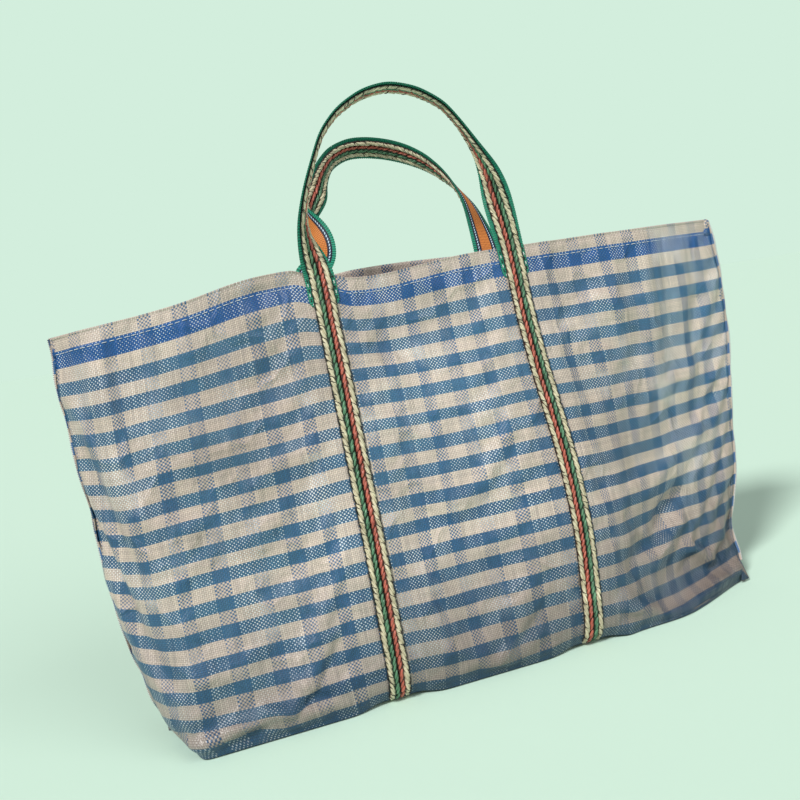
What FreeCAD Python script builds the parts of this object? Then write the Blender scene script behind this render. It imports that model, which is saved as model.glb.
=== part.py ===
import FreeCAD, Part
import math
import os
import Sketcher
from FreeCAD import Placement, Rotation, Vector

# Market tote of checked woven plastic cloth, in millimetres.
# +X runs along the bag, +Y to the back, +Z up. The origin is the middle of the floor face.
# A front panel and a back panel meet at two side seams and stand on a bottom panel. Two straps
# of paired braids run down the front, under the bottom and up the back, and turn into two carrying
# handles above the rim. The cloth is soft; its solids here hold its outer shape and its real mouth.

doc = FreeCAD.newDocument("market_tote")

# ---------------------------------------------------------------- driving dimensions
DIMENSIONS = {
    "cloth": 1.2,                # wall of every cloth solid
    "floor_thickness": 4.4,      # bottom panel, with its sag between the straps
    "hem_height": 16.0,          # double layer at the mouth
    "rim_droop": 20.0,           # how far the left end of the rim hangs below the straps
    "seam_width": 5.0,           # selvage left outside each side seam
    "seam_thickness": 2.4,
    "ear_reach": 18.0,           # how far the boxed corner's tip stands out
    "ear_side": 22.0,            # length of the tip's edge along the wall
    "ear_thickness": 2.4,
    "strap_spacing": 190.0,      # strap centre to strap centre
    "braid_width": 9.7,
    "braid_thickness": 3.0,
    "braid_gap": 0.2,            # between the two braids of a strap
    "edge_thread": 0.7,          # black thread along both edges of a strap
    "tape_width": 28.0,          # woven tape that backs the handles
    "tape_thickness": 1.2,
    "tape_end_length": 32.0,     # tape sewn to the panel below the rim
    "tape_end_radius": 8.0,
    "stitch_length": 6.0,
    "stitch_pitch": 10.0,
    "stitch_thickness": 0.6,
    "clearance": 0.1,            # between pieces that lie on each other
    "stitch_gap": 0.4,           # between a stitch and the sloping cloth
    "hinge_rise": 1.5,           # handle's fold line above the rim
    "hinge_reach": 0.5,          # fold line outside the strap's face
    "handle_gap": 0.6,           # between the fold line and the handle's foot
    "front_lean": 0.0,           # degrees that a standing handle leans away from the bag
    "back_lean": 37.0,
}

# Half outline of the bag at each level: height, half depth, left and right fold, left and right seam.
# The right side is pushed in, so its fold lies far in at the bottom and comes out to the rim.
LEVELS = {
    "foot": (4.4, 68.0, 272.0, 134.0, 290.0, 312.0),
    "toe": (13.0, 76.0, 275.0, 135.0, 297.0, 316.0),
    "heel": (32.0, 78.0, 277.0, 136.0, 306.0, 319.0),
    "belly": (125.0, 71.0, 280.0, 142.0, 323.0, 337.0),
    "waist": (300.0, 44.5, 293.0, 200.0, 331.0, 351.0),
    "rim": (390.0, 27.0, 302.0, 250.0, 332.0, 340.0),
}
LEVEL_FIELDS = ("height", "half_depth", "left_fold", "right_fold", "left_seam", "right_seam")

sheet = doc.addObject("Spreadsheet::Sheet", "dimensions")


def fill_sheet():
    """Every driving dimension goes in a cell of its own, under its alias."""
    cells = dict(DIMENSIONS)
    for level, values in LEVELS.items():
        for field, value in zip(LEVEL_FIELDS, values):
            cells[f"{level}_{field}"] = value
    for row, (alias, value) in enumerate(cells.items(), start=1):
        sheet.set(f"A{row}", alias)
        sheet.set(f"B{row}", str(value))
        sheet.setAlias(f"B{row}", alias)
    doc.recompute()


def size(alias):
    """A driving dimension, read from the sheet."""
    return float(getattr(sheet, alias))


fill_sheet()
RIM = size("rim_height")
STRAP_X = size("strap_spacing") / 2
STRAP_HALF = size("braid_gap") / 2 + size("braid_width") + size("edge_thread")
SPLIT_X = STRAP_X + size("tape_width") / 2 + 5      # the panels are flat between -SPLIT_X and SPLIT_X
THREAD_INSET = 0.4                                  # how far an edge thread stands short of the braid
STITCH_ROW = 0.3                                    # share of the hem's height where its stitches run
TAPE_STITCH_ROWS = (0.25, 0.5, 0.72)                # shares of the tape end's length
TAPE_STEP = 4.0                                     # length in which a braid comes off the tape's end
HANDLE_STATIONS = 61
TAPE_STITCH_ACROSS, TAPE_STITCH_ALONG = 1.6, 3.2


# ---------------------------------------------------------------- the bag's outline
def level_values(name):
    return {field: size(f"{name}_{field}") for field in LEVEL_FIELDS}


def hem_level():
    """The level of the hem's lower edge, on the straight stretch between waist and rim."""
    waist, rim = level_values("waist"), level_values("rim")
    share = 1 - size("hem_height") / (rim["height"] - waist["height"])
    return {field: waist[field] + share * (rim[field] - waist[field]) for field in LEVEL_FIELDS}


def all_levels():
    lower = [level_values(name) for name in LEVELS if name != "rim"]
    return lower + [hem_level(), level_values("rim")]


def wall_path(level, side):
    """Outer corners of one panel at a level, from the left seam to the right seam.

    side is -1 for the front panel and 1 for the back panel.
    """
    depth = side * level["half_depth"]
    droop = size("rim_droop") if level["height"] > level_values("waist")["height"] else 0.0
    left_span = level["left_seam"] - SPLIT_X
    fold_drop = droop * (level["left_fold"] - SPLIT_X) / left_span
    top = level["height"]
    return [
        Vector(-level["left_seam"], 0, top - droop),
        Vector(-level["left_fold"], depth, top - fold_drop),
        Vector(-SPLIT_X, depth, top),
        Vector(SPLIT_X, depth, top),
        Vector(level["right_fold"], depth, top),
        Vector(level["right_seam"], 0, top),
    ]


def offset_path(path, distance, side):
    """The path moved outwards by distance in plan, with mitred corners."""
    normals = []
    for start, end in zip(path, path[1:]):
        run = Vector(end.x - start.x, end.y - start.y, 0).normalize()
        normals.append(Vector(-run.y, run.x, 0) * side)
    mirrored = [Vector(n.x, -n.y, 0) for n in (normals[0], normals[-1])]
    pairs = zip([mirrored[0]] + normals, normals + [mirrored[1]])
    moved = []
    for point, (before, after) in zip(path, pairs):
        mitre = (before + after) * (distance / (1 + before.dot(after)))
        moved.append(point + mitre)
    return moved


def closed_solid(faces):
    """A solid whose skin is the given flat corners, three or four to a face."""
    skin = [Part.Face(Part.makePolygon(list(corners) + [corners[0]])) for corners in faces]
    solid = Part.Solid(Part.Shell(skin))
    if solid.Volume < 0:
        solid.reverse()
    return solid


def two_triangles(a, b, c, d):
    return [(a, b, c), (a, c, d)]


def wall_solid(outer_rows, inner_rows):
    """A cloth wall between two grids of points, one row of points to a level."""
    faces = []
    last = len(outer_rows[0]) - 1
    for low in range(len(outer_rows) - 1):
        rows = outer_rows[low], outer_rows[low + 1], inner_rows[low], inner_rows[low + 1]
        outer_low, outer_high, inner_low, inner_high = rows
        for k in range(last):
            faces += two_triangles(outer_low[k], outer_low[k + 1], outer_high[k + 1], outer_high[k])
            faces += two_triangles(inner_low[k], inner_high[k], inner_high[k + 1], inner_low[k + 1])
        for k in (0, last):
            faces += two_triangles(outer_low[k], outer_high[k], inner_high[k], inner_low[k])
    for outer, inner in ((outer_rows[0], inner_rows[0]), (outer_rows[-1], inner_rows[-1])):
        for k in range(last):
            faces += two_triangles(outer[k], outer[k + 1], inner[k + 1], inner[k])
    return closed_solid(faces)


def shape_node(label, shape, placement=None):
    """A sub-part whose shape is set directly, placed after its shape."""
    node = doc.addObject("Part::Feature", label)
    node.Label = label
    node.Shape = shape
    if placement is not None:
        node.Placement = placement
    return node


# ---------------------------------------------------------------- cloth
def make_panel(label, side):
    rows = [wall_path(level, side) for level in all_levels()]
    inner = [offset_path(row, -size("cloth"), side) for row in rows]
    return shape_node(label, wall_solid(rows, inner))


def make_hem(label, side):
    """The turned-in layer inside the mouth."""
    near = size("cloth") + size("clearance") / 2
    far = near + size("cloth")
    rows = [wall_path(level, side) for level in (hem_level(), level_values("rim"))]
    outer = [offset_path(row, -near, side) for row in rows]
    inner = [offset_path(row, -far, side) for row in rows]
    return shape_node(label, wall_solid(outer, inner))


def make_bottom():
    """The bottom panel, whose underside has a channel for each strap."""
    foot = level_values("foot")
    body = doc.addObject("PartDesign::Body", "bottom_panel")
    body.Label = "bottom_panel"
    outline = plane_sketch(body, "bottom_outline", "XY_Plane")
    front = wall_path(foot, -1)
    back = wall_path(foot, 1)[1:-1]
    closed_outline(outline, [(p.x, p.y) for p in front + back[::-1]])
    pad = body.newObject("PartDesign::Pad", "bottom_pad")
    pad.Profile = outline
    pad.setExpression("Length", "dimensions.floor_thickness")
    doc.recompute()
    before = body.Shape.Volume
    channels = plane_sketch(body, "strap_channels", "XY_Plane")
    half = STRAP_HALF + size("clearance") * 4
    reach = foot["half_depth"] + size("cloth")
    for centre in (-STRAP_X, STRAP_X):
        corners = [(-half, -reach), (half, -reach), (half, reach), (-half, reach)]
        closed_outline(channels, [(centre + x, y) for x, y in corners])
    pocket = body.newObject("PartDesign::Pocket", "channel_pocket")
    pocket.Profile = channels
    pocket.Reversed = True
    pocket.setExpression("Length", "dimensions.braid_thickness + 2 * dimensions.clearance")
    doc.recompute()
    if body.Shape.Volume >= before:
        raise RuntimeError("the strap channels cut nothing")
    return body


def plane_sketch(body, name, role):
    """A sketch on one of the body's own origin planes."""
    sketch = body.newObject("Sketcher::SketchObject", name)
    plane = [part for part in body.Origin.OriginFeatures if part.Role == role][0]
    sketch.AttachmentSupport = [(plane, "")]
    sketch.MapMode = "FlatFace"
    return sketch


def closed_outline(sketch, corners):
    """A closed run of straight lines, joined end to start."""
    first = len(sketch.Geometry)
    count = len(corners)
    for k in range(count):
        start, end = corners[k], corners[(k + 1) % count]
        sketch.addGeometry(Part.LineSegment(Vector(*start, 0), Vector(*end, 0)))
    for k in range(count):
        following = first + (k + 1) % count
        sketch.addConstraint(Sketcher.Constraint("Coincident", first + k, 2, following, 1))


def make_side_seam(label, end):
    """The selvage strip that stands out along a side seam, above the corner's tip."""
    half = size("seam_thickness") / 2
    stations = []
    for level in all_levels()[2:]:
        edge = wall_path(level, -1)[0 if end < 0 else -1]
        near = edge.x + end * size("clearance") * 2
        far = near + end * size("seam_width")
        corners = [(near, -half), (far, -half), (far, half), (near, half)]
        stations.append([Vector(x, y, edge.z) for x, y in corners])
    return shape_node(label, bar_solid(stations))


def bar_solid(stations):
    """A closed bar through stations that have the same number of corners each."""
    faces = [tuple(stations[0]), tuple(stations[-1])]
    count = len(stations[0])
    for low, high in zip(stations, stations[1:]):
        for k in range(count):
            after = (k + 1) % count
            faces += two_triangles(low[k], low[after], high[after], high[k])
    return closed_solid(faces)


def make_corner_ear(label, end):
    """The boxed corner's folded tip, an arrowhead that hugs the bottom panel's corner."""
    foot = level_values("foot")
    front = wall_path(foot, -1)
    seam, fold = (front[0], front[1]) if end < 0 else (front[-1], front[-2])
    along = Vector(fold.x - seam.x, fold.y, 0).normalize() * size("ear_side")
    out = end * size("clearance") * 3
    base = seam.x + out
    corners = [
        (base + along.x, along.y),
        (base, 0.0),
        (base + along.x, -along.y),
        (base + end * size("ear_reach"), 0.0),
    ]
    body = doc.addObject("PartDesign::Body", label)
    body.Label = label
    sketch = plane_sketch(body, label + "_outline", "XY_Plane")
    closed_outline(sketch, corners)
    pad = body.newObject("PartDesign::Pad", label + "_pad")
    pad.Profile = sketch
    pad.setExpression("Length", "dimensions.ear_thickness")
    top = foot["height"] - size("clearance")
    body.Placement = Placement(Vector(0, 0, top - size("ear_thickness")), Rotation())
    return body


def panel_stitch(position, along, outward):
    """One stitch lying on a panel."""
    length, thickness = size("stitch_length"), size("stitch_thickness")
    stitch = Part.makeBox(length, thickness, 2 * thickness)
    stitch.translate(Vector(-length / 2, size("stitch_gap"), -thickness))
    turn = Rotation(along, outward, Vector(0, 0, 1), "XYZ")
    stitch.Placement = Placement(position, turn).multiply(stitch.Placement)
    return stitch


def make_hem_stitches(label, side):
    """The row of stitches that holds the hem, left out where a strap covers it."""
    low = wall_path(hem_level(), side)
    high = wall_path(level_values("rim"), side)
    row = [a + (b - a) * STITCH_ROW for a, b in zip(low, high)]
    covered = size("tape_width") / 2 + size("stitch_length")
    stitches = []
    for start, end in zip(row, row[1:]):
        run = end - start
        count = int(run.Length // size("stitch_pitch"))
        along = Vector(run).normalize()
        outward = Vector(-run.y, run.x, 0).normalize() * side
        for k in range(count):
            position = start + run * ((k + 0.5) / count)
            if abs(abs(position.x) - STRAP_X) > covered:
                stitches.append(panel_stitch(position, along, outward))
    return shape_node(label, Part.makeCompound(stitches))


# ---------------------------------------------------------------- straps on the bag
def strap_line():
    """The line a strap follows on the cloth, in Y and Z, from the front rim to the back rim.

    Each point has its own stand-off from the cloth: over a tape end the braid lies on the tape.
    """
    over_tape = size("tape_thickness") + 2 * size("clearance")
    on_cloth = 2 * size("clearance")
    waist, rim = level_values("waist"), level_values("rim")
    slope = (waist["half_depth"] - rim["half_depth"]) / (rim["height"] - waist["height"])
    tape_foot = RIM - size("tape_end_length") - 1
    top = RIM + size("hinge_rise") - size("handle_gap")
    half = []
    for height, stand_off in ((top, over_tape), (tape_foot, over_tape), (tape_foot - TAPE_STEP, on_cloth)):
        half.append((-(rim["half_depth"] + (rim["height"] - height) * slope), height, stand_off))
    for name in ("waist", "belly", "heel", "toe", "foot"):
        level = level_values(name)
        half.append((-level["half_depth"], level["height"], on_cloth))
    half.append((-size("foot_half_depth"), size("braid_thickness") + on_cloth, on_cloth))
    return half + [(-y, z, gap) for y, z, gap in reversed(half)]


def offset_line(points, extra):
    """The strap line moved outwards by each point's stand-off and extra, with mitred corners."""
    normals = []
    for (y0, z0, _), (y1, z1, _) in zip(points, points[1:]):
        run = math.hypot(y1 - y0, z1 - z0)
        normals.append(((z1 - z0) / run, -(y1 - y0) / run))
    moved = []
    pairs = zip([normals[0]] + normals, normals + [normals[-1]])
    for (y, z, stand_off), (before, after) in zip(points, pairs):
        stretch = (stand_off + extra) / (1 + before[0] * after[0] + before[1] * after[1])
        moved.append((y + (before[0] + after[0]) * stretch, z + (before[1] + after[1]) * stretch))
    return moved


def strap_layer(label, x_low, width_alias, thickness):
    """One layer of a strap: its side profile, padded across by the width in the sheet."""
    line = strap_line()
    body = doc.addObject("PartDesign::Body", label)
    body.Label = label
    sketch = plane_sketch(body, label + "_profile", "YZ_Plane")
    inner = offset_line(line, 0)
    outer = offset_line(line, thickness)
    closed_outline(sketch, inner + outer[::-1])
    pad = body.newObject("PartDesign::Pad", label + "_pad")
    pad.Profile = sketch
    pad.setExpression("Length", "dimensions." + width_alias)
    body.Placement = Placement(Vector(x_low, 0, 0), Rotation())
    return body


def make_strap(name, centre, outer_side):
    """A strap's two braids and the thread along its edges. The green braid is on the outer side."""
    thickness = size("braid_thickness")
    inside = size("braid_gap") / 2
    lows = {1: centre + inside, -1: centre - inside - size("braid_width")}
    nodes = [
        strap_layer(f"{name}_green_braid", lows[outer_side], "braid_width", thickness),
        strap_layer(f"{name}_red_braid", lows[-outer_side], "braid_width", thickness),
    ]
    reach = inside + size("braid_width")
    threads = []
    for side, low in (("left", -reach - size("edge_thread")), ("right", reach)):
        label = f"{name}_{side}_thread"
        threads.append(strap_layer(label, centre + low, "edge_thread", thickness - THREAD_INSET))
    return nodes + threads


# ---------------------------------------------------------------- tape ends
def face_frame(side):
    """Where the rim's outer face lies: a point on it, the way down it and its outward normal."""
    waist, rim = level_values("waist"), level_values("rim")
    down = Vector(0, side * (waist["half_depth"] - rim["half_depth"]), waist["height"] - RIM)
    down.normalize()
    outward = Vector(0, -down.z * side, down.y * side)
    return Vector(0, side * rim["half_depth"], RIM), down, outward


def make_tape_end(label, centre, side):
    """The rounded end of a handle's tape, flat on the panel under the braids."""
    body = doc.addObject("PartDesign::Body", label)
    body.Label = label
    sketch = plane_sketch(body, label + "_outline", "XY_Plane")
    half, length = size("tape_width") / 2, size("tape_end_length")
    closed_outline(sketch, [(-half, -length), (half, -length), (half, 0), (-half, 0)])
    sketch.addConstraint(Sketcher.Constraint("Horizontal", 0))
    sketch.addConstraint(Sketcher.Constraint("Vertical", 1))
    sketch.addConstraint(Sketcher.Constraint("Horizontal", 2))
    sketch.addConstraint(Sketcher.Constraint("Vertical", 3))
    width = sketch.addConstraint(Sketcher.Constraint("DistanceX", 0, 1, 0, 2, 2 * half))
    height = sketch.addConstraint(Sketcher.Constraint("DistanceY", 1, 1, 1, 2, length))
    sketch.addConstraint(Sketcher.Constraint("Symmetric", 2, 1, 2, 2, -1, 1))
    sketch.setExpression(f"Constraints[{width}]", "dimensions.tape_width")
    sketch.setExpression(f"Constraints[{height}]", "dimensions.tape_end_length")
    pad = body.newObject("PartDesign::Pad", label + "_pad")
    pad.Profile = sketch
    pad.setExpression("Length", "dimensions.tape_thickness")
    doc.recompute()
    rounded = []
    for index, edge in enumerate(pad.Shape.Edges, start=1):
        ends = [vertex.Point for vertex in edge.Vertexes]
        upright = abs(ends[0].z - ends[1].z) > size("tape_thickness") / 2
        if upright and ends[0].y < -length / 2:
            rounded.append(f"Edge{index}")
    fillet = body.newObject("PartDesign::Fillet", label + "_corners")
    fillet.Base = (pad, rounded)
    fillet.setExpression("Radius", "dimensions.tape_end_radius")
    point, down, outward = face_frame(side)
    turn = Rotation(Vector(-side, 0, 0), down * -1, outward, "ZXY")
    body.Placement = Placement(point + outward * size("clearance") + Vector(centre, 0, 0), turn)
    return body


def make_tape_stitches(label, side):
    """Short stitches round each tape end, outside the braids."""
    point, down, outward = face_frame(side)
    stand_off = size("tape_thickness") + size("clearance") * 2
    across_at = (STRAP_HALF + size("tape_width") / 2) / 2
    stitches = []
    for centre in (-STRAP_X, STRAP_X):
        for sideways in (-across_at, across_at):
            for row in TAPE_STITCH_ROWS:
                place = point + down * (size("tape_end_length") * row) + outward * stand_off
                place = place + Vector(centre + sideways, 0, 0)
                corner = Vector(-TAPE_STITCH_ACROSS / 2, -TAPE_STITCH_ALONG / 2, 0)
                stitch = Part.makeBox(TAPE_STITCH_ACROSS, TAPE_STITCH_ALONG, size("stitch_thickness"), corner)
                turn = Rotation(Vector(-side, 0, 0), down * -1, outward, "ZXY")
                stitch.Placement = Placement(place, turn)
                stitches.append(stitch)
    return shape_node(label, Part.makeCompound(stitches))


# ---------------------------------------------------------------- handles
# The way each handle's strap runs in its own plane: X, height above the fold line, and the degrees
# that the strap has turned by there. A turned face looks in and down, into the hand.
FRONT_WAY = [
    (-95, 0, 0), (-100, 28, 8), (-101, 46, 28), (-97, 66, 54), (-90, 87, 65), (-76, 118, 72),
    (-58, 138, 78), (-34, 151, 84), (-8, 157, 86), (18, 152, 90), (42, 138, 95), (57, 118, 92),
    (70, 93, 72), (80, 70, 44), (87, 42, 16), (92, 20, 3), (95, 0, 0),
]
BACK_WAY = [
    (-95, 0, 0), (-89, 14, 0), (-78, 34, 2), (-73, 56, 35), (-71, 78, 95), (-63, 97, 140),
    (-52, 114, 148), (-42, 136, 125), (-26, 159, 105), (-4, 170, 96), (16, 169, 94), (36, 163, 92),
    (54, 153, 88), (71, 137, 78), (84, 116, 66), (93, 96, 52), (98, 70, 38), (98, 46, 26),
    (97, 20, 10), (95, 0, 0),
]


def value_between(stations, values, at):
    """The value at a place along a rising list of stations, on a straight line between its neighbours."""
    for start, end, low, high in zip(stations, stations[1:], values, values[1:]):
        if at <= end:
            return low + (high - low) * max(at - start, 0) / (end - start)
    return values[-1]


def handle_frames(way, side):
    """Centre, across and outward directions at each station of a handle that stands upright.

    At its feet the strap's face looks away from the bag. Across points to the arch's outer side.
    """
    points = [Vector(x, 0, height) for x, height, _ in way]
    turns = [turn for _, _, turn in way]
    lengths = [0.0]
    for start, end in zip(points, points[1:]):
        lengths.append(lengths[-1] + (end - start).Length)
    curve = Part.BSplineCurve()
    curve.interpolate(Points=points, Parameters=lengths, InitialTangent=Vector(0, 0, 1),
                      FinalTangent=Vector(0, 0, -1))
    frames = []
    for centre in curve.discretize(Number=HANDLE_STATIONS):
        parameter = curve.parameter(centre)
        along = curve.tangent(parameter)[0]
        outer = Vector(-along.z, 0, along.x)
        turn = math.radians(value_between(lengths, turns, parameter))
        face = Vector(0, side * math.cos(turn), 0) - outer * math.sin(turn)
        across = outer * math.cos(turn) + Vector(0, side * math.sin(turn), 0)
        frames.append((centre, across, face))
    return frames


def handle_bar(frames, section):
    """A bar along the handle, with the section's corners as offsets across it and out of its face."""
    stations = []
    for centre, width_way, face in frames:
        stations.append([centre + width_way * a + face * d for a, d in section])
    for foot in (0, -1):
        stations[foot] = [Vector(p.x, p.y, size("handle_gap")) for p in stations[foot]]
    return bar_solid(stations)


def bar_section(across, depth):
    return [(across[0], depth[0]), (across[1], depth[0]), (across[1], depth[1]), (across[0], depth[1])]


def hinge_point(side):
    """A point on the fold line: just above the rim, just outside the strap's face."""
    y, _ = offset_line(strap_line(), size("braid_thickness"))[0]
    return Vector(0, side * (abs(y) + size("hinge_reach")), RIM + size("hinge_rise"))


def make_handle(name, way, side, lean):
    """A handle's tape, its two braids and its edge threads, leaning away from the bag."""
    frames = handle_frames(way, side)
    surface = -size("hinge_reach")                   # the braids' outer face, from the fold line
    bottom = surface - size("braid_thickness")
    inside = size("braid_gap") / 2
    reach = inside + size("braid_width")
    thread = reach + 4 * size("clearance")
    edge = thread + size("edge_thread")
    half_tape = size("tape_width") / 2
    tape_back = bottom - size("tape_thickness")
    thread_top = surface - THREAD_INSET
    # The tape's face has a corner under each edge of what lies on it, so that they twist together.
    tape_face = (-half_tape, -edge, -thread, -reach, -inside, inside, reach, thread, edge, half_tape)
    tape_section = [(across, bottom) for across in tape_face]
    tape_section += [(across, tape_back) for across in tape_face[::-1]]
    sections = {
        "tape": [tape_section],
        "green_braid": [bar_section((inside, reach), (bottom, surface))],
        "red_braid": [bar_section((-reach, -inside), (bottom, surface))],
        "edge_threads": [
            bar_section((thread, edge), (bottom, thread_top)),
            bar_section((-edge, -thread), (bottom, thread_top)),
        ],
    }
    tilt = Rotation(Vector(-side, 0, 0), lean)
    placement = Placement(hinge_point(side), tilt)
    nodes = []
    for piece, outlines in sections.items():
        solids = [handle_bar(frames, outline) for outline in outlines]
        shape = solids[0] if len(solids) == 1 else Part.makeCompound(solids)
        nodes.append(shape_node(f"{name}_{piece}", shape, placement))
    return nodes


# ---------------------------------------------------------------- the whole bag
def make_bag():
    nodes = [make_bottom()]
    for name, side in (("front", -1), ("back", 1)):
        nodes.append(make_panel(f"{name}_panel", side))
        nodes.append(make_hem(f"{name}_hem", side))
        nodes.append(make_hem_stitches(f"{name}_hem_stitches", side))
        nodes.append(make_tape_stitches(f"{name}_tape_stitches", side))
        for end, centre in (("left", -STRAP_X), ("right", STRAP_X)):
            nodes.append(make_tape_end(f"{name}_{end}_tape_end", centre, side))
    for name, end in (("left", -1), ("right", 1)):
        nodes.append(make_side_seam(f"{name}_side_seam", end))
        nodes.append(make_corner_ear(f"{name}_corner_ear", end))
        nodes += make_strap(f"{name}_strap", end * STRAP_X, end)
    for name, way, side in (("front", FRONT_WAY, -1), ("back", BACK_WAY, 1)):
        nodes += make_handle(f"{name}_handle", way, side, size(f"{name}_lean"))
    return nodes


def check_document(nodes):
    """Stops before anything is written if an object failed or a sub-part has no sound shape."""
    for item in doc.Objects:
        if "Invalid" in item.State or "Error" in item.State:
            raise RuntimeError(f"{item.Label} failed: {item.State}")
    for node in nodes:
        if node.Shape.isNull() or not node.Shape.isValid() or node.Shape.Volume <= 0:
            raise RuntimeError(f"{node.Label} has no sound shape")


def write_parts(nodes):
    os.makedirs("parts", exist_ok=True)
    for node in nodes:
        node.Shape.exportStep(f"parts/{node.Label}.step")
        print(f"{node.Label}: {len(node.Shape.Solids)} solid(s), {node.Shape.Volume / 1000:.1f} cm3")


parts = make_bag()
doc.recompute()
check_document(parts)
write_parts(parts)
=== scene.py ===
import math
import random

import bpy
import numpy as np
from mathutils import Matrix, Vector, noise


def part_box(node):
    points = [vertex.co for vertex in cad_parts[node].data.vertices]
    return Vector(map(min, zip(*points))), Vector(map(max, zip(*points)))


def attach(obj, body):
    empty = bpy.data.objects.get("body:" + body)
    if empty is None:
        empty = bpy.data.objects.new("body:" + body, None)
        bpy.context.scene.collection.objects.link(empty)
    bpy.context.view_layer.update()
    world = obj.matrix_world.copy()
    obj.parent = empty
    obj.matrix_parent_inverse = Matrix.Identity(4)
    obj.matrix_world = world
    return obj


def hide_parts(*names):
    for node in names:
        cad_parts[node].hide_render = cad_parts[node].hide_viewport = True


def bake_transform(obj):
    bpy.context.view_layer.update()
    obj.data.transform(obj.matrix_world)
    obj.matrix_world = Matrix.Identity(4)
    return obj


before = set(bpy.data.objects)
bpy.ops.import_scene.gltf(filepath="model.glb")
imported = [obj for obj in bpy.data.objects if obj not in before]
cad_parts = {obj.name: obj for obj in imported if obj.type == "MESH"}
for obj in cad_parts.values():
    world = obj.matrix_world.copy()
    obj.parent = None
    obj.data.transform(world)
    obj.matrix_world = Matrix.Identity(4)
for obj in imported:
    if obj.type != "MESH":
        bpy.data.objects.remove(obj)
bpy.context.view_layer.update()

# Market tote of checked woven plastic cloth, standing on a pale floor.
# Shapes are worked out in millimetres, in the CAD frame: +X along the bag, +Y to the back, +Z up.
# Every mesh is turned to metres when it is made.

MM = 0.001

# ---------------------------------------------------------------- driving sizes, as in the CAD
STRAP_X = 95.0  # strap centres
COLUMN = 4.85  # width of one column of braid strands, four to a strap
BRAID_EDGE = 2 * COLUMN + 0.1
TAPE_HALF = 14.0
TAPE_THICK = 1.2
TAPE_END = 32.0  # what is sewn to the panel, below the fold line
TAPE_RADIUS = 8.0
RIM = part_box("front_panel")[1].z / MM
HINGE_Y = 31.644
HINGE_Z = RIM + 1.5
SURFACE_INSET = 3.5  # underside of a handle's braid, from the fold line
HEM = 16.0
DROOP = 20.0  # fall of the rim's left end
SPLIT_X = 116.5  # where that fall starts, left of the left strap
FLOOR_GAP = 3.2  # room for a strap under the bottom cloth
LEAN = {-1: 0.0, 1: 37.0}  # how far each handle leans outwards at rest
SIDES = {"front": -1, "back": 1}

# height, half depth, left fold, right fold, left seam, right seam
LEVELS = (
    (4.4, 68.0, 272.0, 134.0, 290.0, 312.0),
    (13.0, 76.0, 275.0, 135.0, 297.0, 316.0),
    (32.0, 78.0, 277.0, 136.0, 306.0, 319.0),
    (125.0, 71.0, 280.0, 142.0, 323.0, 337.0),
    (300.0, 44.5, 293.0, 200.0, 331.0, 351.0),
    (RIM, 27.0, 302.0, 250.0, 332.0, 340.0),
)
RIM_LEFT_SEAM = LEVELS[-1][4]
FOOT = LEVELS[0][0]

# The way of each handle's strap in its own plane: X, height above the fold line, and the degrees
# that it has turned by there.
WAYS = {
    -1: ((-95, 0, 0), (-97, 14, 20), (-99, 28, 44), (-100, 42, 62), (-97, 58, 72), (-92, 74, 77),
         (-85, 90, 79), (-72, 118, 82), (-55, 136, 84), (-32, 149, 86), (-8, 154, 88), (18, 149, 95),
         (42, 136, 103), (57, 117, 106), (70, 93, 96), (80, 70, 68), (87, 42, 28), (92, 20, 6), (95, 0, 0)),
    1: ((-95, 0, 0), (-82, 9, 0), (-73, 22, 0), (-69, 40, 12), (-69, 56, 46), (-70, 78, 97), (-63, 97, 140),
        (-52, 114, 148), (-42, 136, 125), (-26, 159, 105), (-4, 170, 96), (16, 169, 94), (36, 163, 92),
        (54, 153, 88), (71, 137, 78), (84, 116, 66), (93, 96, 52), (98, 70, 38), (98, 46, 26),
        (97, 20, 10), (95, 0, 0)),
}

# How the cloth differs from the solids
FOOT_FULLNESS, FOOT_DROP = 6.0, 3.4  # its foot goes outwards and down
FULLNESS_HEIGHT, FULLNESS_DEPTH = 9.0, 30.0  # how soon the fullness fades, upwards and to the seams
SWAY = 12.0  # the right strap strays outwards between its ends
SWAY_TOP, SWAY_FADE, SWAY_FOOT = 330.0, 180.0, 120.0
SWAY_LEFT, SWAY_RIGHT, SWAY_EASE = 10.0, 260.0, 150.0  # between these X, and the run over which it ends
PULL, PULL_HEIGHT = 24.0, 62.0  # the lower right corner comes forward
PULL_LEFT, PULL_EASE = 125.0, 100.0
RIM_RISE = (-150.0, 60.0, 9.0)  # swellings of the rim: middle X, reach, height
RIM_SAG = (-45.0, 60.0, 8.0)
BACK_RIM_RISE = (-10.0, 70.0, 3.0)
RIM_BAND = {-1: (0.72, 0.28), 1: (0.7, 0.3)}  # shares of the height where they start, and take
SELVAGE_WIDTH = {-1: 1.6, 1: 3.4}  # how far the side seams stand out
EAR_REACH, EAR_FORWARD = {-1: 7.0, 1: 5.0}, {-1: 0.0, 1: -5.0}  # the corner tips, from the seam
CLOTH_THICK, HEM_THICK, EAR_THICK, BOTTOM_THICK = 0.9, 0.5, 0.8, 0.7

# Waves pushed into the cloth: lengths along X, depth and height, how high they stand, and if they slant
WAVES = (
    (95.0, 160.0, 120.0, 5.0, False),
    (42.0, 70.0, 34.0, 3.2, False),
    (60.0, 70.0, 20.0, 1.8, True),
    (17.0, 20.0, 13.0, 0.6, False),
)

# Cloth pattern
WARP_PITCH, WARP_BLUE = 30.8, 12.2
WEFT_PITCH, WEFT_CREAM = 24.0, 12.5
RIM_CREAM, HEM_BLUE_END = 11.0, 26.0
MIDDLE_SHIFT, OUTER_SHIFT = 18.0, 35.0  # first blue warp band from a strap's centre
THREAD = 1.66
FOOT_SHADE_HEIGHT = 150.0  # painted shade: the cloth darkens below this height
SELVAGE_WHITE = 0.6  # share of a seam's width where the white threads begin

BACKDROP = (211, 238, 221)


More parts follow.
